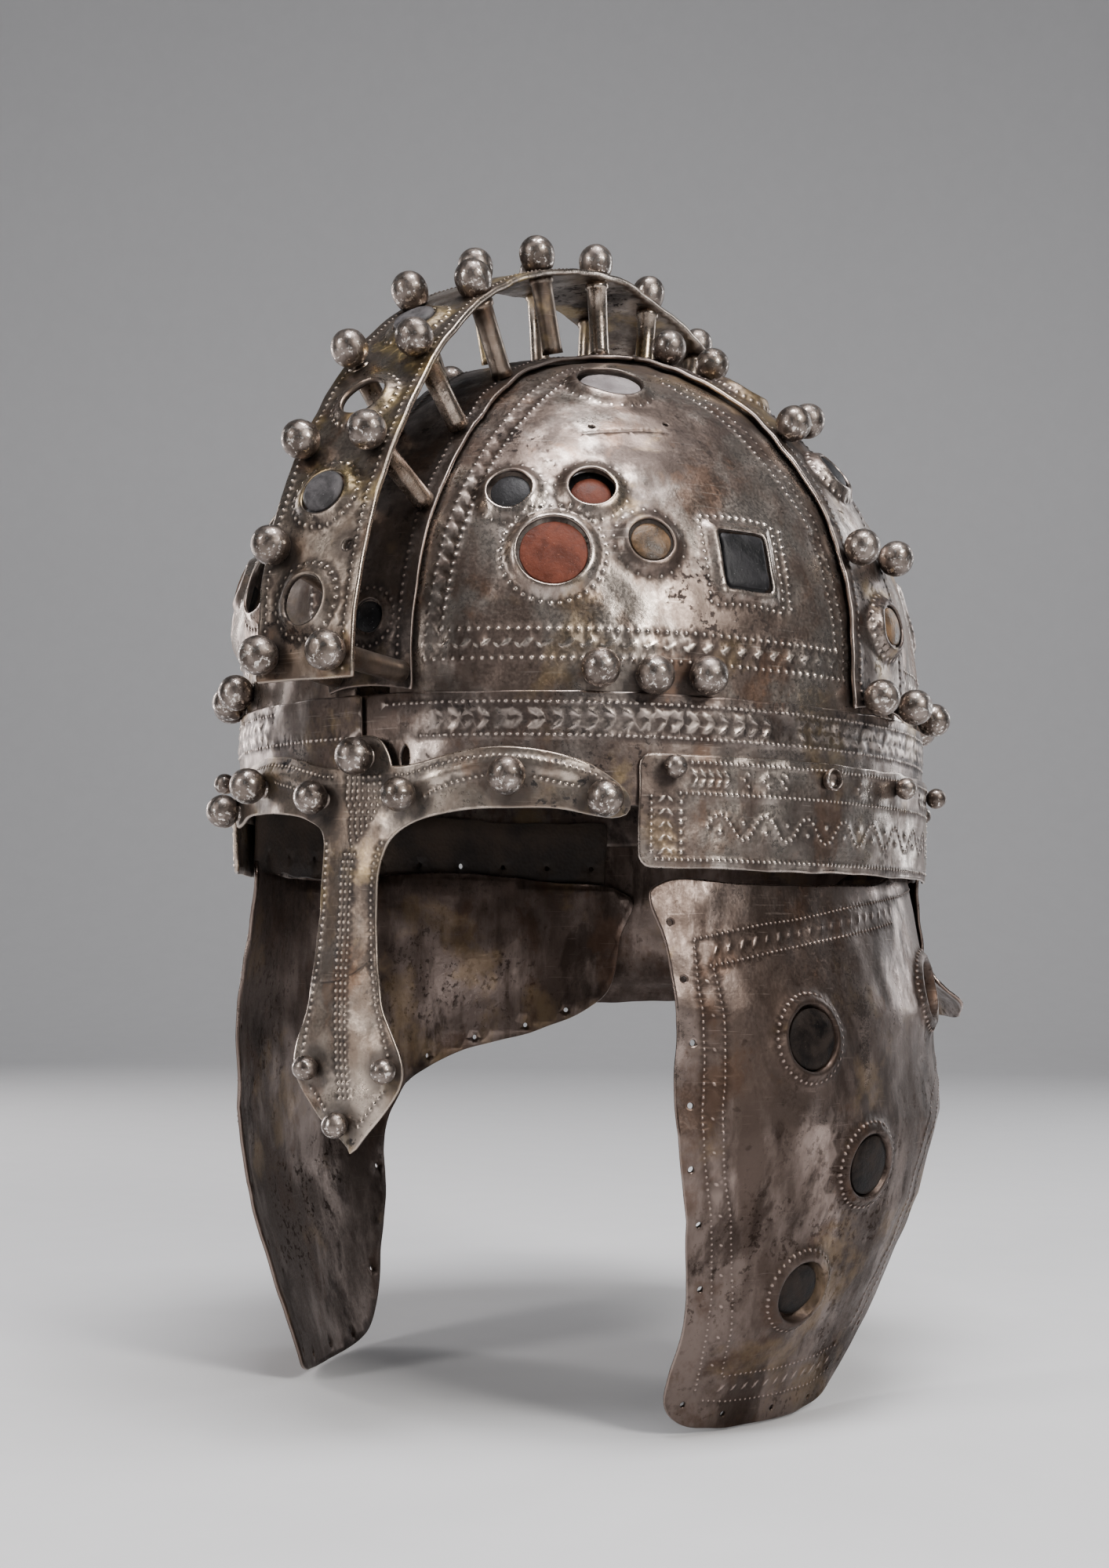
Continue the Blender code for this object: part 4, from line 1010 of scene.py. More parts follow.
def collar_lift(surface, settings, height, width, lip=0.0):
    """The metal climbs to a collar round each (map point, radius) setting, with a lip at the hole."""
    middles = [(surface.at(rows_of(centre))[0], radius) for centre, radius in settings]

    def lift(_, solid):
        up = np.zeros(len(solid))
        for middle, radius in middles:
            edge = np.linalg.norm(solid - middle, axis=1) - radius
            near = smooth(1 - edge / width)
            up = np.maximum(up, height * near - lip * smooth(1 - edge / 1.1))
        return up

    return lift


def ring_dots(marks, surface, centre, radius, spacing, size, height=0.42):
    count = max(8, round(TAU * radius / spacing))
    marks.add(surface.loop(centre, circle(radius, count)), size, size, 0.0, height)


def round_hole(surface, centre, radius):
    return surface.loop(centre, circle(radius, max(12, round(TAU * radius / 1.1))))


def cabochon(radius, rise, power):
    """A low dome, or with a high power a flat disc with a rounded edge."""
    profile = [(radius * s, rise * (1 - s**power)) for s in (0.0, 0.2, 0.4, 0.6, 0.75, 0.85, 0.92, 0.97, 1.0)]
    return profile + [(radius * 1.01, -0.35), (radius * 0.98, -1.3), (0.0, -1.3)]


def add_stone(
    node, surface, centre, radius, finish, lift, shift=(0.0, 0.0), rise=0.9, power=2.6, shade_disc=0.0,
):
    """A stone shifted a little in its setting, over a dark disc of painted shade with the shade disc's radius
    if it has one.
    """
    origin, axes = surface.place(centre, lift)
    origin = origin + axes[0] * shift[0] + axes[1] * shift[1]
    piece = Piece(node)
    piece.put(lathe(cabochon(radius, rise, power), 40, 0.06, origin.sum()), (origin, axes))
    if shade_disc:
        # The dark disc is painted shade filling the open hole behind the stone.
        disc = [(0.0, 0.0), (shade_disc, 0.0), (shade_disc, -0.3), (0.0, -0.3)]
        piece.put(lathe(disc, 40), surface.place(centre, -1.3), 1)
    piece.make([STONES[finish], STONES["dark"]])


# ---------------------------------------------------------------- bowl plates


def plate_outline(side_y):
    near_y = CROSS_CENTRE_Y + side_y * 3.0
    t_low = math.degrees(math.asin(6.0 / BOWL.a))
    t_high = math.degrees(math.acos(-near_y / BOWL.b))
    if side_y > 0:
        t_low = 180 - t_low
    rim = [BOWL.polar(t, 22.0) for t in np.linspace(t_low, t_high, 50)]
    rest = 1 - (6.0 / BOWL.a) ** 2 - (near_y / BOWL.b) ** 2
    climb = np.sin(np.linspace(0, math.pi / 2, 40)[:-1])
    heights = [BOWL_BASE + BOWL.h * math.sqrt(rest) * share for share in climb]
    up = [BOWL.on_y(near_y, z) for z in heights]
    down = [BOWL.on_x(6.0, z, side_y) for z in reversed(heights)]
    return np.array(rim + up + [BOWL.plan(6.0, near_y)] + down)


def flip(maps, sign):
    return rows_of(maps) * [sign, 1]


def build_plate(key):
    end, side = key.split("_")
    side_y, sign = (-1 if end == "front" else 1), (1 if side == "left" else -1)

    def spot(t, z):
        return flip(BOWL.polar(t if side_y < 0 else 180 - t, z), sign)[0]

    def line(maker, table, low, high):
        zs = np.linspace(low, high, 30)
        keys, values = zip(*table)
        return flip([maker(np.interp(z, keys, values), z) for z in zs], sign)

    def beside_ridge(x, z):
        return BOWL.on_x(x, z, side_y)

    def beside_band(y, z):
        return BOWL.on_y(CROSS_CENTRE_Y + side_y * y, z)

    marks = Marks(BOWL)
    inner = ((40, 20.8), (75, 22.7), (106, 25.8), (121, 27.7), (134, 29.5))
    first = ((40, 16.6), (75, 18.2), (106, 20.6), (121, 22.2), (138, 24.0))
    band_in = ((40, 22.5), (71, 22.6), (87, 23.3), (99, 25.4), (111, 26.6), (119, 28.5), (132, 31.0))
    band_out = ((34, 18.9), (71, 18.8), (87, 19.2), (99, 20.6), (111, 21.8), (119, 23.4), (136, 26.5))
    marks.dots(line(beside_ridge, inner, 47.5, 130), 2.6, 0.64, 0.46)
    marks.dots(line(beside_ridge, first, 40, 134), 2.8, 0.52, 0.28)
    marks.dots(line(beside_band, band_in, 47.5, 128), 2.3, 0.56, 0.38)
    marks.dots(line(beside_band, band_out, 40, 132), 2.3, 0.5, 0.3)
    for maker, inside_row, outside_row, low, *leaf in (
        (beside_ridge, inner, first, (42, 130), 5.2, (2.1, 1.05), 48, -0.34),
        (beside_band, band_in, band_out, (44, 128), 4.6, (1.5, 0.75), 40, -0.24),
    ):
        middle = [(z, (a + np.interp(z, *zip(*outside_row))) / 2) for z, a in inside_row]
        marks.leaves(line(maker, middle, *low), *leaf)

    def level(z, x, y):
        t0 = math.degrees(math.asin(x / BOWL.a))
        t1 = math.degrees(math.acos(-(CROSS_CENTRE_Y + side_y * y) / BOWL.b))
        t1 = t1 if side_y < 0 else 180 - t1
        return np.array([spot(t, z) for t in np.linspace(t0, t1, 40)])

    marks.dots(level(46.9, 20.8, 22.5), 2.7, 0.64, 0.46)
    marks.dots(level(39.0, 16.6, 18.9), 2.7, 0.64, 0.46)
    marks.leaves(level(43.2, 22.5, 25.0), 5.6, (2.5, 0.95), 32 * sign, 0.44)
    marks.leaves(level(42.4, 25.0, 25.0), 5.6, (1.3, 0.6), -40 * sign, 0.3)
    settings = [(spot(t, z), radius) for _, t, z, radius, _ in PLATE_SETTINGS]
    holes = [round_hole(BOWL, *setting) for setting in settings]
    for (centre, radius), (name, *_) in zip(settings, PLATE_SETTINGS):
        away, *dot = (4.6, 2.6, 0.7, 0.44) if name == "big" else (3.9, 3.3, 0.5, 0.2)
        ring_dots(marks, BOWL, centre, radius + away, *dot)
    square = spot(*SQUARE_SETTING)
    holes.append(BOWL.loop(square, even(rectangle(*SQUARE_HALF, 1.6), 1.1)))
    marks.dots(BOWL.loop(square, rectangle(12.6, 13.6, 1.0)), 2.4, 0.56, 0.38, True)
    side_row = [(15.4 * sign, y) for y in np.linspace(-12, 12, 9)]
    marks.dots(BOWL.loop(square, side_row), 2.4, 0.6, 0.36)
    if key == "front_left":
        holes += [round_hole(BOWL, spot(33.9, 107.4), 0.9), round_hole(BOWL, spot(49.3, 110.4), 0.8)]
        crease = ((32.4, 105.0), (38.0, 105.9), (43.5, 107.2), (48.6, 107.6))
        marks.groove([spot(*place) for place in crease], 0.35)
    round_lift = collar_lift(BOWL, settings, 2.2, 4.4, 0.15)
    middle_solid, axes = BOWL.place(square)

    def lift(maps, solid):
        off = (solid - middle_solid) @ axes.T
        edge = np.maximum(np.abs(off[:, 0]) - SQUARE_HALF[0], np.abs(off[:, 1]) - SQUARE_HALF[1])
        edge = np.where(np.linalg.norm(off, axis=1) < 40, edge, 99)
        return np.maximum(round_lift(maps, solid), 1.9 * smooth(1 - edge / 4.2) - 0.3 * smooth(1 - edge))

    piece = Piece("bowl_plate_" + key)
    spots = [spot(*place) for place in PLATE_BALLS[end]]
    stains = [(place, 4.0) for place in spots]
    sheet(piece, BOWL, flip(plate_outline(side_y), sign), 1.0, marks, holes, lift, 2.1, stains=stains)
    for place in spots:
        add_ball(piece, BOWL, place, BALL_RADIUS)
    piece.make([SILVER, RIVET])
    present = {row["node"] for row in frame["record"]["subparts"]}
    for (centre, radius), (name, *_, finish) in zip(settings, PLATE_SETTINGS):
        node = f"stone_{key}_{name}"
        if node in present:
            seat = PLATE_SEATS.get(name, {"lift": 0.35, "shift": (0.25, -0.3), "rise": 0.8})
            add_stone(node, BOWL, centre, radius - 0.8, finish, **seat)
    node = f"stone_{key}_square"
    if node in present:
        build_square_stone(node, square)


def build_square_stone(node, centre):
    place = BOWL.place(centre, 0.5)
    base = even(rectangle(SQUARE_HALF[0] - 0.9, SQUARE_HALF[1] - 0.9, 1.3), 1.2)
    levels = ((1.0, -1.6), (1.0, -0.25), (0.985, 0.15), (0.93, 0.4), (0.8, 0.55), (0.55, 0.66), (0.28, 0.7))
    points = np.vstack([np.column_stack([base * s, np.full(len(base), z)]) for s, z in levels])
    points[:, 2] += 0.12 * LUMPS(points * 0.7 + place[0].sum()) * (points[:, 2] > -0.2)
    ring = np.arange(len(base))
    after = np.roll(ring, -1)
    faces = []
    for low in range(0, len(points) - len(base), len(base)):
        high = low + len(base)
        faces += zip(low + ring, low + after, high + after, high + ring)
    faces += [high + ring, ring[::-1]]
    piece = Piece(node)
    piece.put((points, faces), place)
    piece.make([STONES["dark"]])


for plate in ("front_left", "front_right", "back_left", "back_right"):
    build_plate(plate)

# ---------------------------------------------------------------- ridge plate and cross bands


def cross_edge(degrees, side_y, inwards=0.0):
    """Y of the cross band's front (-1) or back (1) edge at this angle up the dome."""
    angles, *reaches = zip(*CROSS_EDGES)
    return CROSS_CENTRE_Y + side_y * (np.interp(degrees, angles, reaches[side_y > 0]) - inwards)


def band_point(y, degrees):
    """Map point of the cross band at this y and angle up the dome, or below its foot if negative."""
    shrink = math.sqrt(1 - (y / FRAME.b) ** 2)
    a = math.radians(max(0.0, degrees))
    x = FRAME.a * shrink * math.cos(a)
    z = BOWL_BASE + (FRAME.h * shrink * math.sin(a) if degrees > 0 else 2 * degrees)
    return FRAME.find([(x, y, z)])[0]


def arm_side(side_y, inwards=0.0, from_x=28.0):
    """The ridge plate's left side from the cross arm's end to the rim, at the front (-1) or back (1)."""
    low, high = 14.0 - inwards, 17.0 - inwards
    arm_y = cross_edge(CROSS_TOP, side_y, inwards)
    fillet = 20.0 + inwards
    fillet_y = arm_y + side_y * fillet
    reach = from_x - high
    points = [FRAME.plan(from_x, arm_y)]
    for i in range(1, 13):
        a = math.pi / 2 * i / 12
        points.append(
            FRAME.plan(high + reach * (1 - math.sin(a)), fillet_y - side_y * fillet * math.cos(a))
        )
    end_y = side_y * FRAME.b * 0.985
    for share in np.linspace(1, 0, 30)[1:]:
        y = end_y + (fillet_y - end_y) * math.sin(share * math.pi / 2)
        points.append(FRAME.plan(low + (high - low) * share, y))
    return points + [FRAME.on_x(low, BOWL_BASE, side_y), FRAME.on_x(low, 31.0, side_y)]


def build_ridge():
    left = arm_side(-1)[::-1] + arm_side(1)
    outline = np.array(left + [p * [-1, 1] for p in reversed(left)])
    marks = Marks(FRAME)
    for sign in (1, -1):
        for side_y in (-1, 1):
            marks.dots(flip(arm_side(side_y, 4.0, 26.5), sign), 2.4, 0.62, 0.4)
    a = math.radians(6.0)
    centre = FRAME.find([(0, -FRAME.b * math.cos(a), BOWL_BASE + FRAME.h * math.sin(a))])[0]
    ring_dots(marks, FRAME, centre, 8.2, 2.3, 0.6)
    piece = Piece("ridge_plate")
    lift = collar_lift(FRAME, [(centre, 5.0)], 1.0, 3.0, 0.2)
    sheet(piece, FRAME, outline, 1.1, marks, [round_hole(FRAME, centre, 5.0)], lift, 2.4)
    piece.make([RIDGE_SHADED_SILVER])
    add_stone("stone_ridge_front", FRAME, centre, 4.3, "dark", 0.0)


def build_cross_band(side, sign):
    angles = np.concatenate([np.linspace(-4.5, 0, 4)[:-1], np.linspace(0, CROSS_TOP, 40)])[:-1]
    corners = [FRAME.plan(28.6, cross_edge(CROSS_TOP, side_y)) for side_y in (-1, 1)]
    front, back = ([band_point(cross_edge(e, side_y), e) for e in angles] for side_y in (-1, 1))
    outline = flip(front + corners + back[::-1], sign)
    marks = Marks(FRAME)
    for side_y in (-1, 1):
        row = [band_point(cross_edge(e, side_y, 3.0), e) for e in np.linspace(-3, 72, 40)]
        marks.dots(flip(row, sign), 2.3, 0.62, 0.4)
    settings = [(flip(band_point(CROSS_SETTING_Y, e), sign)[0], radius) for _, e, radius in CROSS_SETTINGS]
    for centre, radius in settings:
        ring_dots(marks, FRAME, centre, radius + 3.6, 2.5, 0.62)
    holes = [round_hole(FRAME, *setting) for setting in settings]
    lift = collar_lift(FRAME, settings, 3.4, 5.0, 0.4)
    piece = Piece("cross_band_" + side)
    spots = [flip(band_point(CROSS_CENTRE_Y + y, e), sign)[0] for y, e in CROSS_BALLS]
    sheet(piece, FRAME, outline, 1.2, marks, holes, lift, 2.0, stains=[(spot, 4.0) for spot in spots])
    for spot in spots:
        add_ball(piece, FRAME, spot, BALL_RADIUS)
    piece.make([FRAME_SILVER, RIVET])
    for (key, _, _), (centre, radius), finish in zip(CROSS_SETTINGS, settings, (None, "dark", "amber")):
        if finish:
            add_stone(f"stone_cross_{side}_{key}", FRAME, centre, radius - 0.7, finish, 2.2, (0, 0), 1.0)


build_ridge()
for side, sign in SIDES:
    build_cross_band(side, sign)

# ---------------------------------------------------------------- crest strip


def frame_below(centre):
    """Distance from the crest strip's outer face down to just above the ridge plate."""
    origin, axes = ARCH.place(centre)
    near, far = 5.0, 45.0
    while far - near > 0.01:
        middle = (near + far) / 2
        x, y, z = origin - axes[2] * middle
        x /= float(FRAME.across(x, z))
        depth = (x / FRAME.a) ** 2 + (y / FRAME.b) ** 2 + (max(0.0, z - BOWL_BASE) / FRAME.h) ** 2
        near, far = (middle, far) if depth > 1 else (near, middle)
    return near - 0.4


def build_crest():
    run = np.linspace(0.4, 179.6, 120)
    edge = [ARCH.along(CREST_HALF, e) for e in run]
    outline = np.array(edge + [p * [-1, 1] for p in reversed(edge)])
    angles = list(CREST_ANGLES) + [180 - angle for angle in reversed(CREST_ANGLES)]
    marks = Marks(ARCH)
    for x in (13.6, -13.6):
        marks.dots([ARCH.along(x, e) for e in np.linspace(1.2, 178.8, 60)], 2.3, 0.56, 0.42)
    settings = [(ARCH.along(0, (angles[row] + angles[row + 1]) / 2), 6.8) for row, _ in CREST_SETTINGS]
    for centre, radius in settings:
        ring_dots(marks, ARCH, centre, radius + 3.5, 2.5, 0.66, 0.45)
    holes = [round_hole(ARCH, *setting) for setting in settings]
    holes.append(round_hole(ARCH, ARCH.along(CREST_POST_X, angles[LOST_RIVET[0]]), 1.7))
    lift = collar_lift(ARCH, settings, 1.9, 4.6)
    piece = Piece("crest_strip")
    stains = [(ARCH.along(x, angle), 3.6) for angle in angles for x in (CREST_POST_X, -CREST_POST_X)]
    sheet(piece, ARCH, outline, 1.7, marks, holes, lift, 2.0, dents=(0.1, 0.35), stains=stains)
    for row, angle in enumerate(angles):
        for side in (1, -1):
            if (row, side) == LOST_RIVET:
                continue
            centre = ARCH.along(side * CREST_POST_X, angle)
            place = ARCH.place(centre, 5.0, (1, 0, 0))
            head = ball_profile(BALL_RADIUS, 0.5 if row in STRAIGHT_ROWS else 0.0)
            piece.put(lathe(head, 26, 0.03, place[0].sum()), place, 1)
            down = frame_below(centre)
            post = [(0.0, -5.5), (3.1, -5.5), (3.1, -6.6), (3.7, -6.9), (3.7, -8.4), (3.15, -8.8)]
            for wide, share in ((3.0, 0.5), (3.0, 0.7), (3.0, 0.9), (3.2, 1), (0.0, 1)):
                post.append((wide, -5.0 - down * share))
            # The posts are brightened by half as painted light, since the strip above shades them.
            piece.put(lathe(post, 20, 0.03, place[0].sum()), place, 0, 0.5)
    piece.make([CREST_SILVER, RIVET])
    for number, ((centre, radius), (_, filled)) in enumerate(zip(settings, CREST_SETTINGS)):
        if filled:
            add_stone(f"stone_crest_{number}", ARCH, centre, radius - 0.7, "grey", 2.5, (0, 0), 1.0, 9)


build_crest()

# ---------------------------------------------------------------- rim band


def build_rim():
    low, high, tab = RIM.polar([-3.5, 358.6, 361.4], 0)[:, 0]
    foot = rectangle(4.0, 8.0, 3.6)
    foot = foot[foot[:, 0] > 0] + [tab - 4.0, 8.0]
    foot = foot[np.argsort(foot[:, 1], kind="stable")]
    rise = [(high + 0.6, 16.2), (high + 0.1, 17.4), (high, 30.0)]
    outline = np.vstack([[(low, 0.0)], foot, rise, [(low, 30.0)]])
    marks = Marks(RIM)

    def level(z, t0, t1):
        return RIM.polar(np.linspace(t0, t1, 200), z)

    marks.dots(level(27.2, 3, 338), 1.95, 0.52, 0.34)
    marks.dots(level(18.4, 9, 357), 1.95, 0.52, 0.34)
    marks.chevrons(level(22.8, 13, 27), 4.7, 2.5, 0.75, 38, 0.2)
    marks.chevrons(level(22.8, 28, 62), 4.7, 2.7, 0.85, 38, 0.44)
    marks.chevrons(level(22.8, 66, 334), 4.7, 2.7, 0.85, 38, 0.42, True)

    def lift(maps, _):
        return -1.75 * (1 - smooth((maps[:, 0] / RIM.per_degree - 1.8) / 11))

    piece = Piece("rim_band")
    slot = RIM.loop(RIM.polar(6.2, 12.5), circle(1.5, 18, 3.6))
    # Its edges are darkened as painted shade of the gaps under the plates and brow.
    sheet(piece, RIM, outline, 1.1, marks, [slot], lift, 2.3, dents=(0.12, 0.12), edge=(0.2, 0.7))
    piece.make([FRAME_SILVER])


build_rim()

# ---------------------------------------------------------------- brow and nasal


def brow_half(z):
    """Half width of the nasal at this height."""
    nasal = ((-94, 0), (-74, 17.8), (-55, 12.6), (-43, 10.8), (-25, 9.4), (-12, 10.2), (-8.2, 12.2), (-5, 17))
    return np.interp(z, *zip(*nasal))


def build_brow():
    left = np.array(BROW_OUTLINE)
    loop = np.vstack([left, left[1:-1][::-1] * [-1, 1]])
    n = len(left)
    outline = curved(loop, {n - 1, 3, len(loop) - 3})
    marks = Marks(VISOR)
    for x in (-1.6, 0.0, 1.6):
        marks.dots([(x, z) for z in np.linspace(-13.5, -79.5, 20)], 2.05, 0.58, 0.46)
    for sign in (1, -1):
        side = [(sign * (brow_half(z) - 1.6), z) for z in np.linspace(-10.5, -67.5, 32)]
        marks.dots(side, 2.05, 0.55, 0.4)
        low = [(sign * (brow_half(z) - 2.6), z) for z in np.linspace(-77.5, -87, 8)]
        marks.dots(low, 2.0, 0.5, 0.34)
        for row in (
            ((10.5, 7.8), (14, 8), (28, 11.6), (38, 12.8), (46, 12.1), (54, 10.3), (60, 8.2), (64, 4.8)),
            ((19, 2.0), (27, 5.6), (36, 7.6)),
            ((47, 7.0), (52, 5.6), (57, 4.6)),
        ):
            marks.dots(flip(row, sign), 1.75, 0.5, 0.36)
    rng = np.random.default_rng(4)
    stipple = []
    for z in np.arange(7.5, -12.5, -1.9):
        half = 6.4 * min(1.0, (z + 15) / 16)
        count = max(1, round(2 * half / 1.95))
        for i in range(count):
            x = (i + 0.5) / count * 2 * half - half
            stipple.append((x + rng.uniform(-0.15, 0.15), z + rng.uniform(-0.15, 0.15)))
    marks.add(stipple, 0.55, 0.55, 0.0, 0.38)
    marks.groove([(-7.2, -48.6), (-2.0, -48.2), (3.5, -46.0), (8.6, -42.4)])

    def lift(maps, _):
        x, z = np.abs(maps[:, 0]), maps[:, 1]
        ridge = 1.0 * smooth(1 - x / np.maximum(brow_half(z), 1)) * smooth((-8 - z) / 12)
        arch_z = np.interp(x, (8, 14, 28, 38, 46, 54, 60, 66), (4, 5, 9, 10.8, 10.4, 8.8, 6.6, 2))
        swell = 1.1 * smooth(1 - np.abs(z - arch_z) / 3.4) * smooth((x - 10) / 6) * smooth((67 - x) / 5)
        return ridge + swell

    piece = Piece("nasal_brow")
    stains = [((x, z), radius * 0.9 + 2.2) for _, x, z, radius in BROW_BALLS]
    sheet(piece, VISOR, outline, 1.1, marks, (), lift, 1.5, dents=(0.12, 0.15), stains=stains)
    piece.make([BROW_LIT_SILVER])
    for name, x, z, radius in BROW_BALLS:
        ball = Piece("ball_brow_" + name)
        place = VISOR.place((x, z), radius)
        profile = ball_profile(radius, foot=radius * 0.5, foot_z=0.3 - radius)
        ball.put(lathe(profile, 28, 0.004 * radius, place[0].sum()), place)
        ball.make([RIVET])


build_brow()

# ---------------------------------------------------------------- side plates


def build_side_plate(side, sign):
    """Its dotted running wave stands where the photo has lettering."""
    t0, t1, z0, z1 = 41.0, 116.0, -16.5, 14.0
    middle = FITTING.polar((t0 + t1) / 2, (z0 + z1) / 2)
    half = (FITTING.per_degree * (t1 - t0) / 2, (z1 - z0) / 2)
    outline = flip(middle + rectangle(*half, 3.5), sign)
    marks = Marks(FITTING)

    def level(z, low, high):
        return flip(FITTING.polar(np.linspace(low, high, 60), z), sign)

    def upright(t, low, high):
        return flip(FITTING.polar(t, np.linspace(low, high, 12)), sign)

    marks.dots(level(12.0, 48.6, 114), 1.75, 0.5, 0.34)
    marks.dots(level(3.6, 46.9, 114.5), 1.75, 0.5, 0.34)
    marks.dots(level(-14.3, 43.4, 114.5), 1.85, 0.52, 0.36)
    marks.dots(upright(42.7, 2.5, -12.5), 1.9, 0.5, 0.34)
    marks.dots(upright(47.0, 1.2, -12.3), 2.5, 0.74, 0.45)
    marks.dots(upright(114.6, 1.5, -12.5), 1.9, 0.5, 0.34)
    marks.chevrons(upright(44.8, -11.0, 3.0), 3.3, 1.55, 0.5, 48, 0.34)
    marks.chevrons(level(7.8, 49.5, 54.5), 2.5, 1.7, 0.55, 50, 0.36)
    marks.chevrons(level(7.8, 106.5, 101), 2.5, 1.7, 0.55, 50, 0.36)
    for t in (57.5, 60.6, 63.7, 79.0, 82.0):
        marks.add(flip(FITTING.polar([t, t, t - 0.7], [6.2, 9.4, 7.8]), sign), 0.5, 0.5, 0, 0.36)
    start, end, pitch = 51, 110, 7.4
    ts = np.linspace(start, end, 240)
    wave = flip(FITTING.polar(ts, -5.2 + 3.4 * np.sin((ts - start) * TAU / pitch)), sign)
    marks.dots(wave, 1.9, 0.55, 0.38)
    for i in range(16):
        bend = FITTING.polar(start + pitch * (0.25 + i / 2), -3.9 if i % 2 else -6.5)
        if bend[0] < FITTING.per_degree * end:
            marks.add(flip(bend, sign), 0.85, 0.85, 0, 0.45)
    piece = Piece("side_plate_" + side)
    spots = [flip(FITTING.polar(t, z), sign)[0] for t, z in SIDE_BALLS]
    stains = [(spot, 3.0) for spot in spots]
    sheet(piece, FITTING, outline, 1.0, marks, (), None, 1.8, dents=(0.14, 0.22), stains=stains)
    for number, spot in enumerate(spots):
        if (side, number) == BROKEN_BALL:
            shell = [(1.0, 0.3), (2.2, 0.6), (3.0, 1.6), (3.3, 3.0), (3.0, 3.8), (2.6, 3.4), (2.7, 1.8)]
            shell += [(1.8, 0.9), (0.0, 0.6)]
            piece.put(lathe(shell[::-1], 22, 0.12), FITTING.place(spot, -0.2), 1, 0.0, 0.3)
        else:
            add_ball(piece, FITTING, spot, SMALL_BALL_RADIUS)
    piece.make([SILVER, RIVET])


for side, sign in SIDES:
    build_side_plate(side, sign)

# ---------------------------------------------------------------- neck guard


def build_neck():
    left = np.array([NECK.polar(t, z) for t, z in NECK_OUTLINE])
    right = np.array([NECK.polar(360 - t, z) for t, z in reversed(NECK_OUTLINE[1:-1])])
    outline = np.vstack([left, right])
    marks = Marks(NECK)
    for start, z in ((128, 2.0), (130, -36.0), (130, -44.0)):
        marks.dots(NECK.polar(np.linspace(start, 360 - start, 60), z), 2.1, 0.6, 0.4)
    marks.leaves(NECK.polar(np.linspace(131, 229, 60), -40.0), 5.2, (2.1, 0.9), 40, 0.4)
    for t in (129.0, 231.0):
        marks.dots(NECK.polar(t, np.linspace(0, -50, 20)), 2.1, 0.6, 0.4)
    piece = Piece("neck_guard")
    sheet(piece, NECK, outline, 1.1, marks, (), None, 2.4, dents=(0.16, 0.3))
    for t, z in NECK_BALLS:
        add_ball(piece, NECK, NECK.polar(t, z), SMALL_BALL_RADIUS)
    piece.make([CHEEK_SHADED_SILVER, RIVET])


build_neck()

# ---------------------------------------------------------------- cheek guards

GUARD_ROWS = {
    "top_a": (
        (49.0, -35.7), (60.1, -31.4), (67.7, -29.4), (80.3, -25.6), (97.7, -21.8), (118.0, -17.0),
        (143.0, -20.0),
    ),
    "top_b": ((50.9, -42.8), (54.2, -41.7), (61.8, -38.7), (69.3, -36.2), (81.1, -32.9), (93.0, -29.6)),
    "front_a": (
        (48.8, -36.2), (48.7, -49.1), (49.0, -57.0), (49.2, -67.1), (49.0, -75.4), (48.7, -82.7),
        (48.9, -90.0), (49.7, -98.6), (51.0, -109.2), (52.3, -122.1), (53.2, -133.0), (53.4, -144.0),
        (53.7, -154.2), (54.1, -163.3),
    ),
    "front_b": (
        (51.3, -43.8), (51.7, -50.3), (52.1, -57.1), (52.2, -65.0), (52.0, -74.0), (51.6, -81.2),
        (51.6, -88.5), (52.5, -98.9), (54.0, -109.5), (55.7, -123.7), (56.9, -134.8), (57.5, -143.7),
        (57.9, -153.9), (58.2, -157.5),
    ),
    "bottom_a": ((58.8, -158.0), (63.0, -157.8), (71.7, -158.4), (80.2, -157.4), (88.2, -155.5)),
    "bottom_b": (
        (56.1, -165.4), (60.4, -166.1), (67.1, -166.5), (74.8, -166.6), (83.0, -165.8), (88.5, -162.5),
    ),
    "rear_a": (
        (92.8, -152.5), (96.4, -128.0), (98.2, -105.0), (103.5, -87.5), (111.5, -78.5), (121.0, -72.0),
        (131.0, -67.5), (140.0, -61.0), (146.0, -53.0), (148.6, -44.0), (149.8, -33.0), (151.0, -22.0),
    ),
    "rear_b": (
        (90.2, -149.5), (93.6, -127.0), (95.2, -104.0), (100.6, -84.0), (109.0, -74.5), (119.0, -68.0),
        (129.0, -63.5), (137.0, -57.5), (142.5, -50.0), (145.0, -42.0), (146.3, -32.0), (147.5, -23.0),
    ),
}
GUARD_HOLES = (
    (45.6, -31.2), (46.7, -46.5), (47.6, -63.4), (47.2, -80.2), (47.5, -97.5), (49.5, -113.2),
    (51.3, -131.6), (52.2, -166.1), (60.7, -170.2), (72.3, -170.9), (82.9, -170.6), (141.6, -62.2),
    (133.4, -67.9), (122.9, -72.2), (113.0, -78.7), (99.3, -117.0), (94.4, -151.0),
)


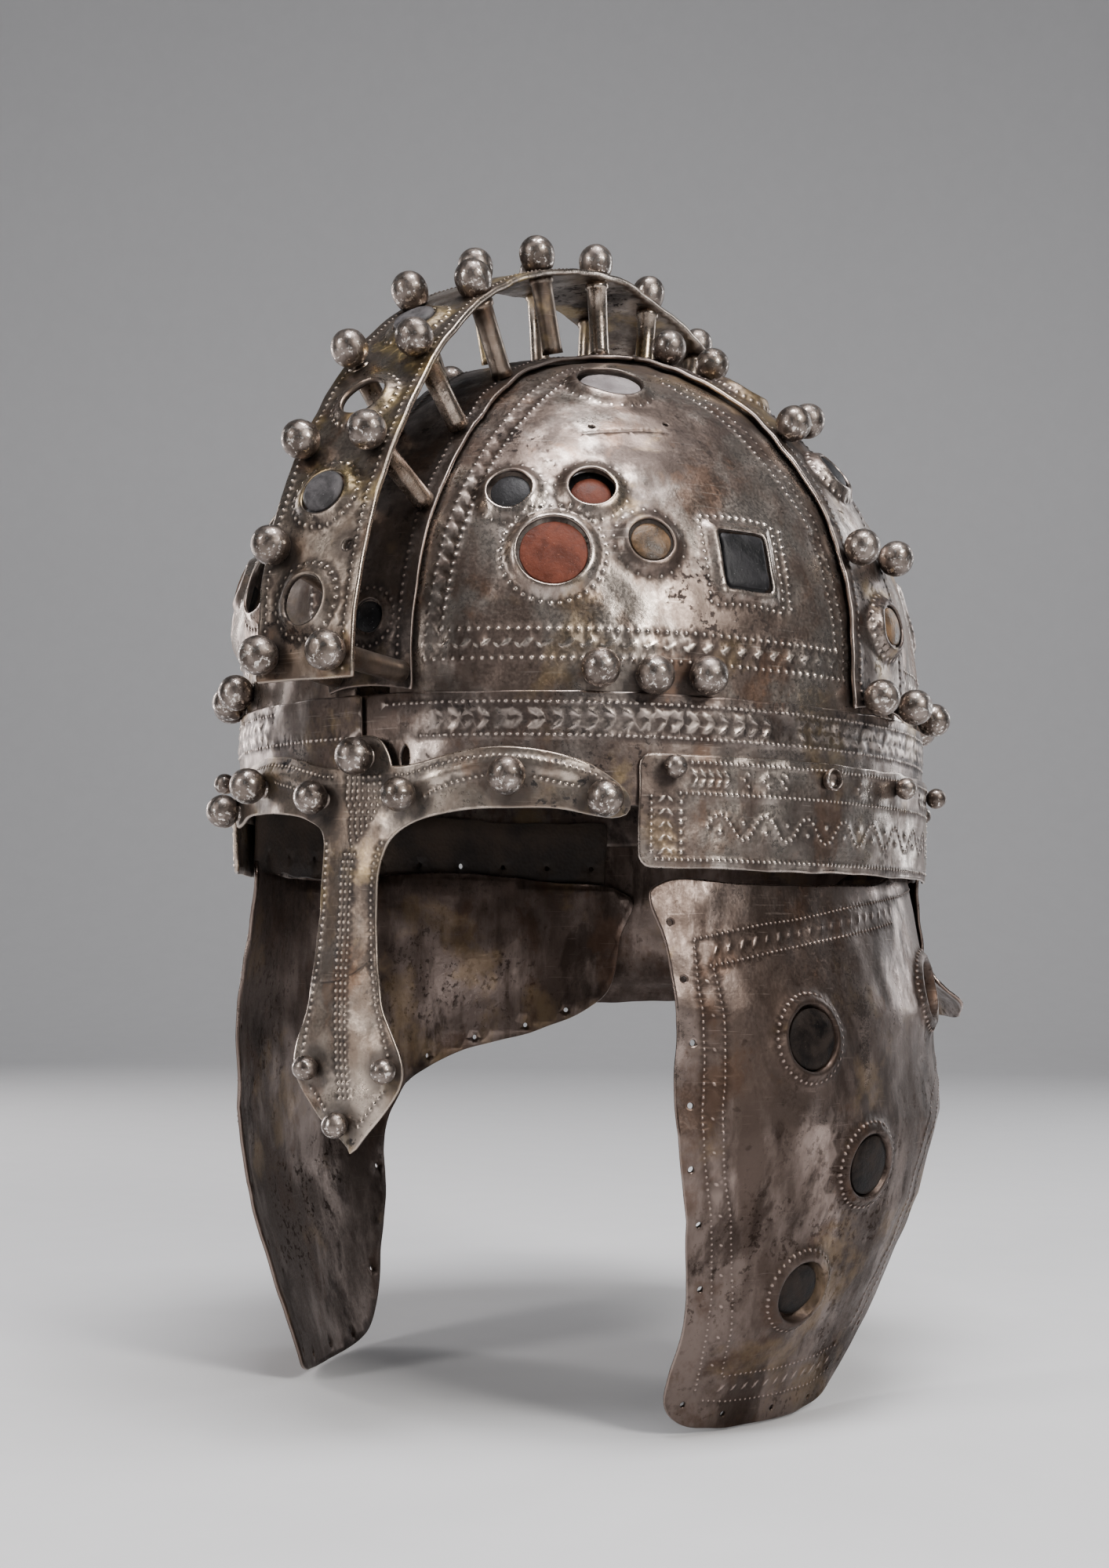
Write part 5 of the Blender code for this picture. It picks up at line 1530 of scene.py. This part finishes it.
def build_guard(side, sign):
    surface = GUARDS[side]

    def spot(t, z):
        return flip(surface.polar(t, z), sign)[0]

    def halfway(name, ts, by_height=False):
        """The line midway between the two rows of dots with this name."""
        rows = [np.array(GUARD_ROWS[name + row]) for row in ("_a", "_b")]
        if by_height:
            return sum(np.interp(-ts, -row[:, 1], row[:, 0]) for row in rows) / 2
        return sum(np.interp(ts, row[:, 0], row[:, 1]) for row in rows) / 2

    corners = [surface.polar(t, z) for t, z in GUARD_OUTLINE + GUARD_TOP_EDGE[side]]
    outline = flip(curved(corners, (), 6), sign)
    marks = Marks(surface)
    for key, line in GUARD_ROWS.items():
        path = curved([spot(t, z) for t, z in line], (0, len(line) - 1), 6)[: 6 * (len(line) - 1)]
        marks.dots(path, 1.75 if key.startswith("top") else 1.85, 0.47, 0.33)
    for name, low, high in (("top", 52, 92), ("bottom", 59, 86)):
        ts = np.linspace(low, high, 30)
        marks.leaves(flip(surface.polar(ts, halfway(name, ts)), sign), 4.4, (1.9, 0.6), 55 * sign, 0.24)
    zs = np.linspace(-47, -154, 40)
    marks.leaves(flip(surface.polar(halfway("front", zs, True), zs), sign), 9.0, (0.9, 0.5), 50 * sign, 0.12)
    settings = [(spot(t, z), radius) for _, t, z, radius in GUARD_SETTINGS]
    for centre, radius in settings:
        ring_dots(marks, surface, centre, radius + 3.3, 2.1, 0.56, 0.45)
    seats = [round_hole(surface, *setting) for setting in settings]
    holes = [round_hole(surface, spot(t, z), 0.95) for t, z in GUARD_HOLES]
    lift = collar_lift(surface, settings, 2.5, 5.2, 0.8)
    runs = []
    for t0, z0, t1, z1, wide, narrow in GUARD_RUNS if side == "left" else ():
        for s in np.linspace(0, 1, 9):
            runs.append((spot(t0 + (t1 - t0) * s, z0 + (z1 - z0) * s), wide + (narrow - wide) * s))
    piece = Piece("cheek_guard_" + side)
    # The guards darken downwards as painted shade.
    sheet(
        piece, surface, outline, 1.3, marks, holes, lift, 2.2, wobble=0.12, dents=(0.12, 0.5), blind=seats,
        pale=runs, low_shade=0.75,
    )
    piece.make([CHEEK_SHADED_SILVER])
    for (key, *_), (centre, radius) in zip(GUARD_SETTINGS, settings):
        gap, shift = (1.5, (-1.1 * sign, 0.2)) if key == "lower" else (0.8, (0.1, -0.1))
        if key != "rear":
            add_stone(f"stone_cheek_{side}_{key}", surface, centre, radius - gap, "brown", 0.9, shift, 0.8, 5)


for side, sign in SIDES:
    build_guard(side, sign)


def build_strap(side, sign):
    t0, t1, z0, z1 = 60.0, 150.0, -15.5, 8.0
    outline = flip([STRAP.polar(t, z) for t, z in ((t0, z0), (t1, z0), (t1, z1), (t0, z1))], sign)
    piece = Piece("hanger_strap_" + side)
    holes = [round_hole(STRAP, flip(STRAP.polar(t, -9.0), sign)[0], 1.1) for t in np.arange(66, 148, 9)]
    sheet(piece, STRAP, outline, 1.4, Marks(STRAP), holes, None, 3.0, wobble=0.5, dents=(0.1, 0.2))
    piece.make([LEATHER])


for side, sign in SIDES:
    build_strap(side, sign)

# ---------------------------------------------------------------- studio


# Metres and radians: the floor below the helmet, and how far the camera stands to its left.
FLOOR_Z = -0.1752
VIEW_TURN = math.radians(30.64)


def studio():
    n = Nodes("studio_paper")
    fibre = n.noise(40, 4, 0.6)
    tint = n.mix(n.ramp(fibre, 0.3, 0.7), (0.735, 0.735, 0.745), (0.75, 0.75, 0.76))
    paper = n.set(Base_Color=tint, Roughness=0.8)
    floor_end, cove = 1.6, 0.9
    profile = [(-3.0, 0.0), (floor_end, 0.0)]
    for angle in range(0, 91, 6):
        a = math.radians(angle)
        profile.append((floor_end + cove * math.sin(a), cove - cove * math.cos(a)))
    profile.append((2.5, 3.2))
    away = Vector((-math.sin(VIEW_TURN), math.cos(VIEW_TURN), 0))
    side = Vector((away.y, -away.x, 0))
    points, faces = [], []
    for along, up in profile:
        for s in (-3.5, 3.5):
            points.append(away * along + side * s + Vector((0, 0, FLOOR_Z + up)))
    for i in range(len(profile) - 1):
        faces.append((2 * i, 2 * i + 1, 2 * i + 3, 2 * i + 2))
    mesh = bpy.data.meshes.new("studio_sweep")
    mesh.from_pydata([tuple(p) for p in points], [], faces)
    mesh.shade_smooth()
    mesh.materials.append(paper)
    sweep = bpy.data.objects.new("studio_sweep", mesh)
    bpy.context.scene.collection.objects.link(sweep)

    world = bpy.data.worlds.new("studio_world")
    world.use_nodes = True
    world.node_tree.nodes["Background"].inputs["Color"].default_value = (0.80, 0.82, 0.86, 1)
    world.node_tree.nodes["Background"].inputs["Strength"].default_value = 0.14
    bpy.context.scene.world = world

    def area_light(name, turn, rise, distance, size, power, color):
        """A soft box, turn degrees to the right of the camera as the helmet sees it."""
        t = VIEW_TURN + math.radians(turn)
        e = math.radians(rise)
        place = Vector((math.sin(t) * math.cos(e), -math.cos(t) * math.cos(e), math.sin(e))) * distance
        lamp = bpy.data.lights.new(name, "AREA")
        lamp.shape = "RECTANGLE"
        lamp.size, lamp.size_y = size
        lamp.energy = power
        lamp.color = color
        obj = bpy.data.objects.new(name, lamp)
        obj.location = place
        obj.rotation_euler = (-place).to_track_quat("-Z", "Y").to_euler()
        bpy.context.scene.collection.objects.link(obj)

    area_light("key_right", 40, 30, 1.3, (0.3, 0.5), 12, (1.0, 0.97, 0.93))
    area_light("key_left", -52, 20, 1.3, (0.2, 0.8), 6.2, (1.0, 0.96, 0.94))
    area_light("top_soft", 20, 74, 1.4, (0.7, 0.5), 24, (0.99, 0.98, 1.0))
    area_light("edge_left", -128, 10, 1.4, (0.2, 0.9), 9, (1.0, 0.95, 0.94))
    area_light("edge_right", 128, 18, 1.4, (0.25, 0.9), 5, (0.95, 0.97, 1.0))


studio()

camera = bpy.data.cameras.new("camera")
camera.lens = 46.26
camera.sensor_width = 36
camera.shift_x = -0.02
camera.shift_y = 0.102
camera.clip_start = 0.05
view = bpy.data.objects.new("camera", camera)
eye = Vector((0.3313, -0.5593, -0.0372))
look = Vector((-eye.x, -eye.y, 0)).to_track_quat("-Z", "Y").to_matrix()
view.matrix_world = Matrix.Translation(eye) @ (look @ Matrix.Rotation(math.radians(0.62), 3, "Z")).to_4x4()
bpy.context.scene.collection.objects.link(view)
bpy.context.scene.camera = view
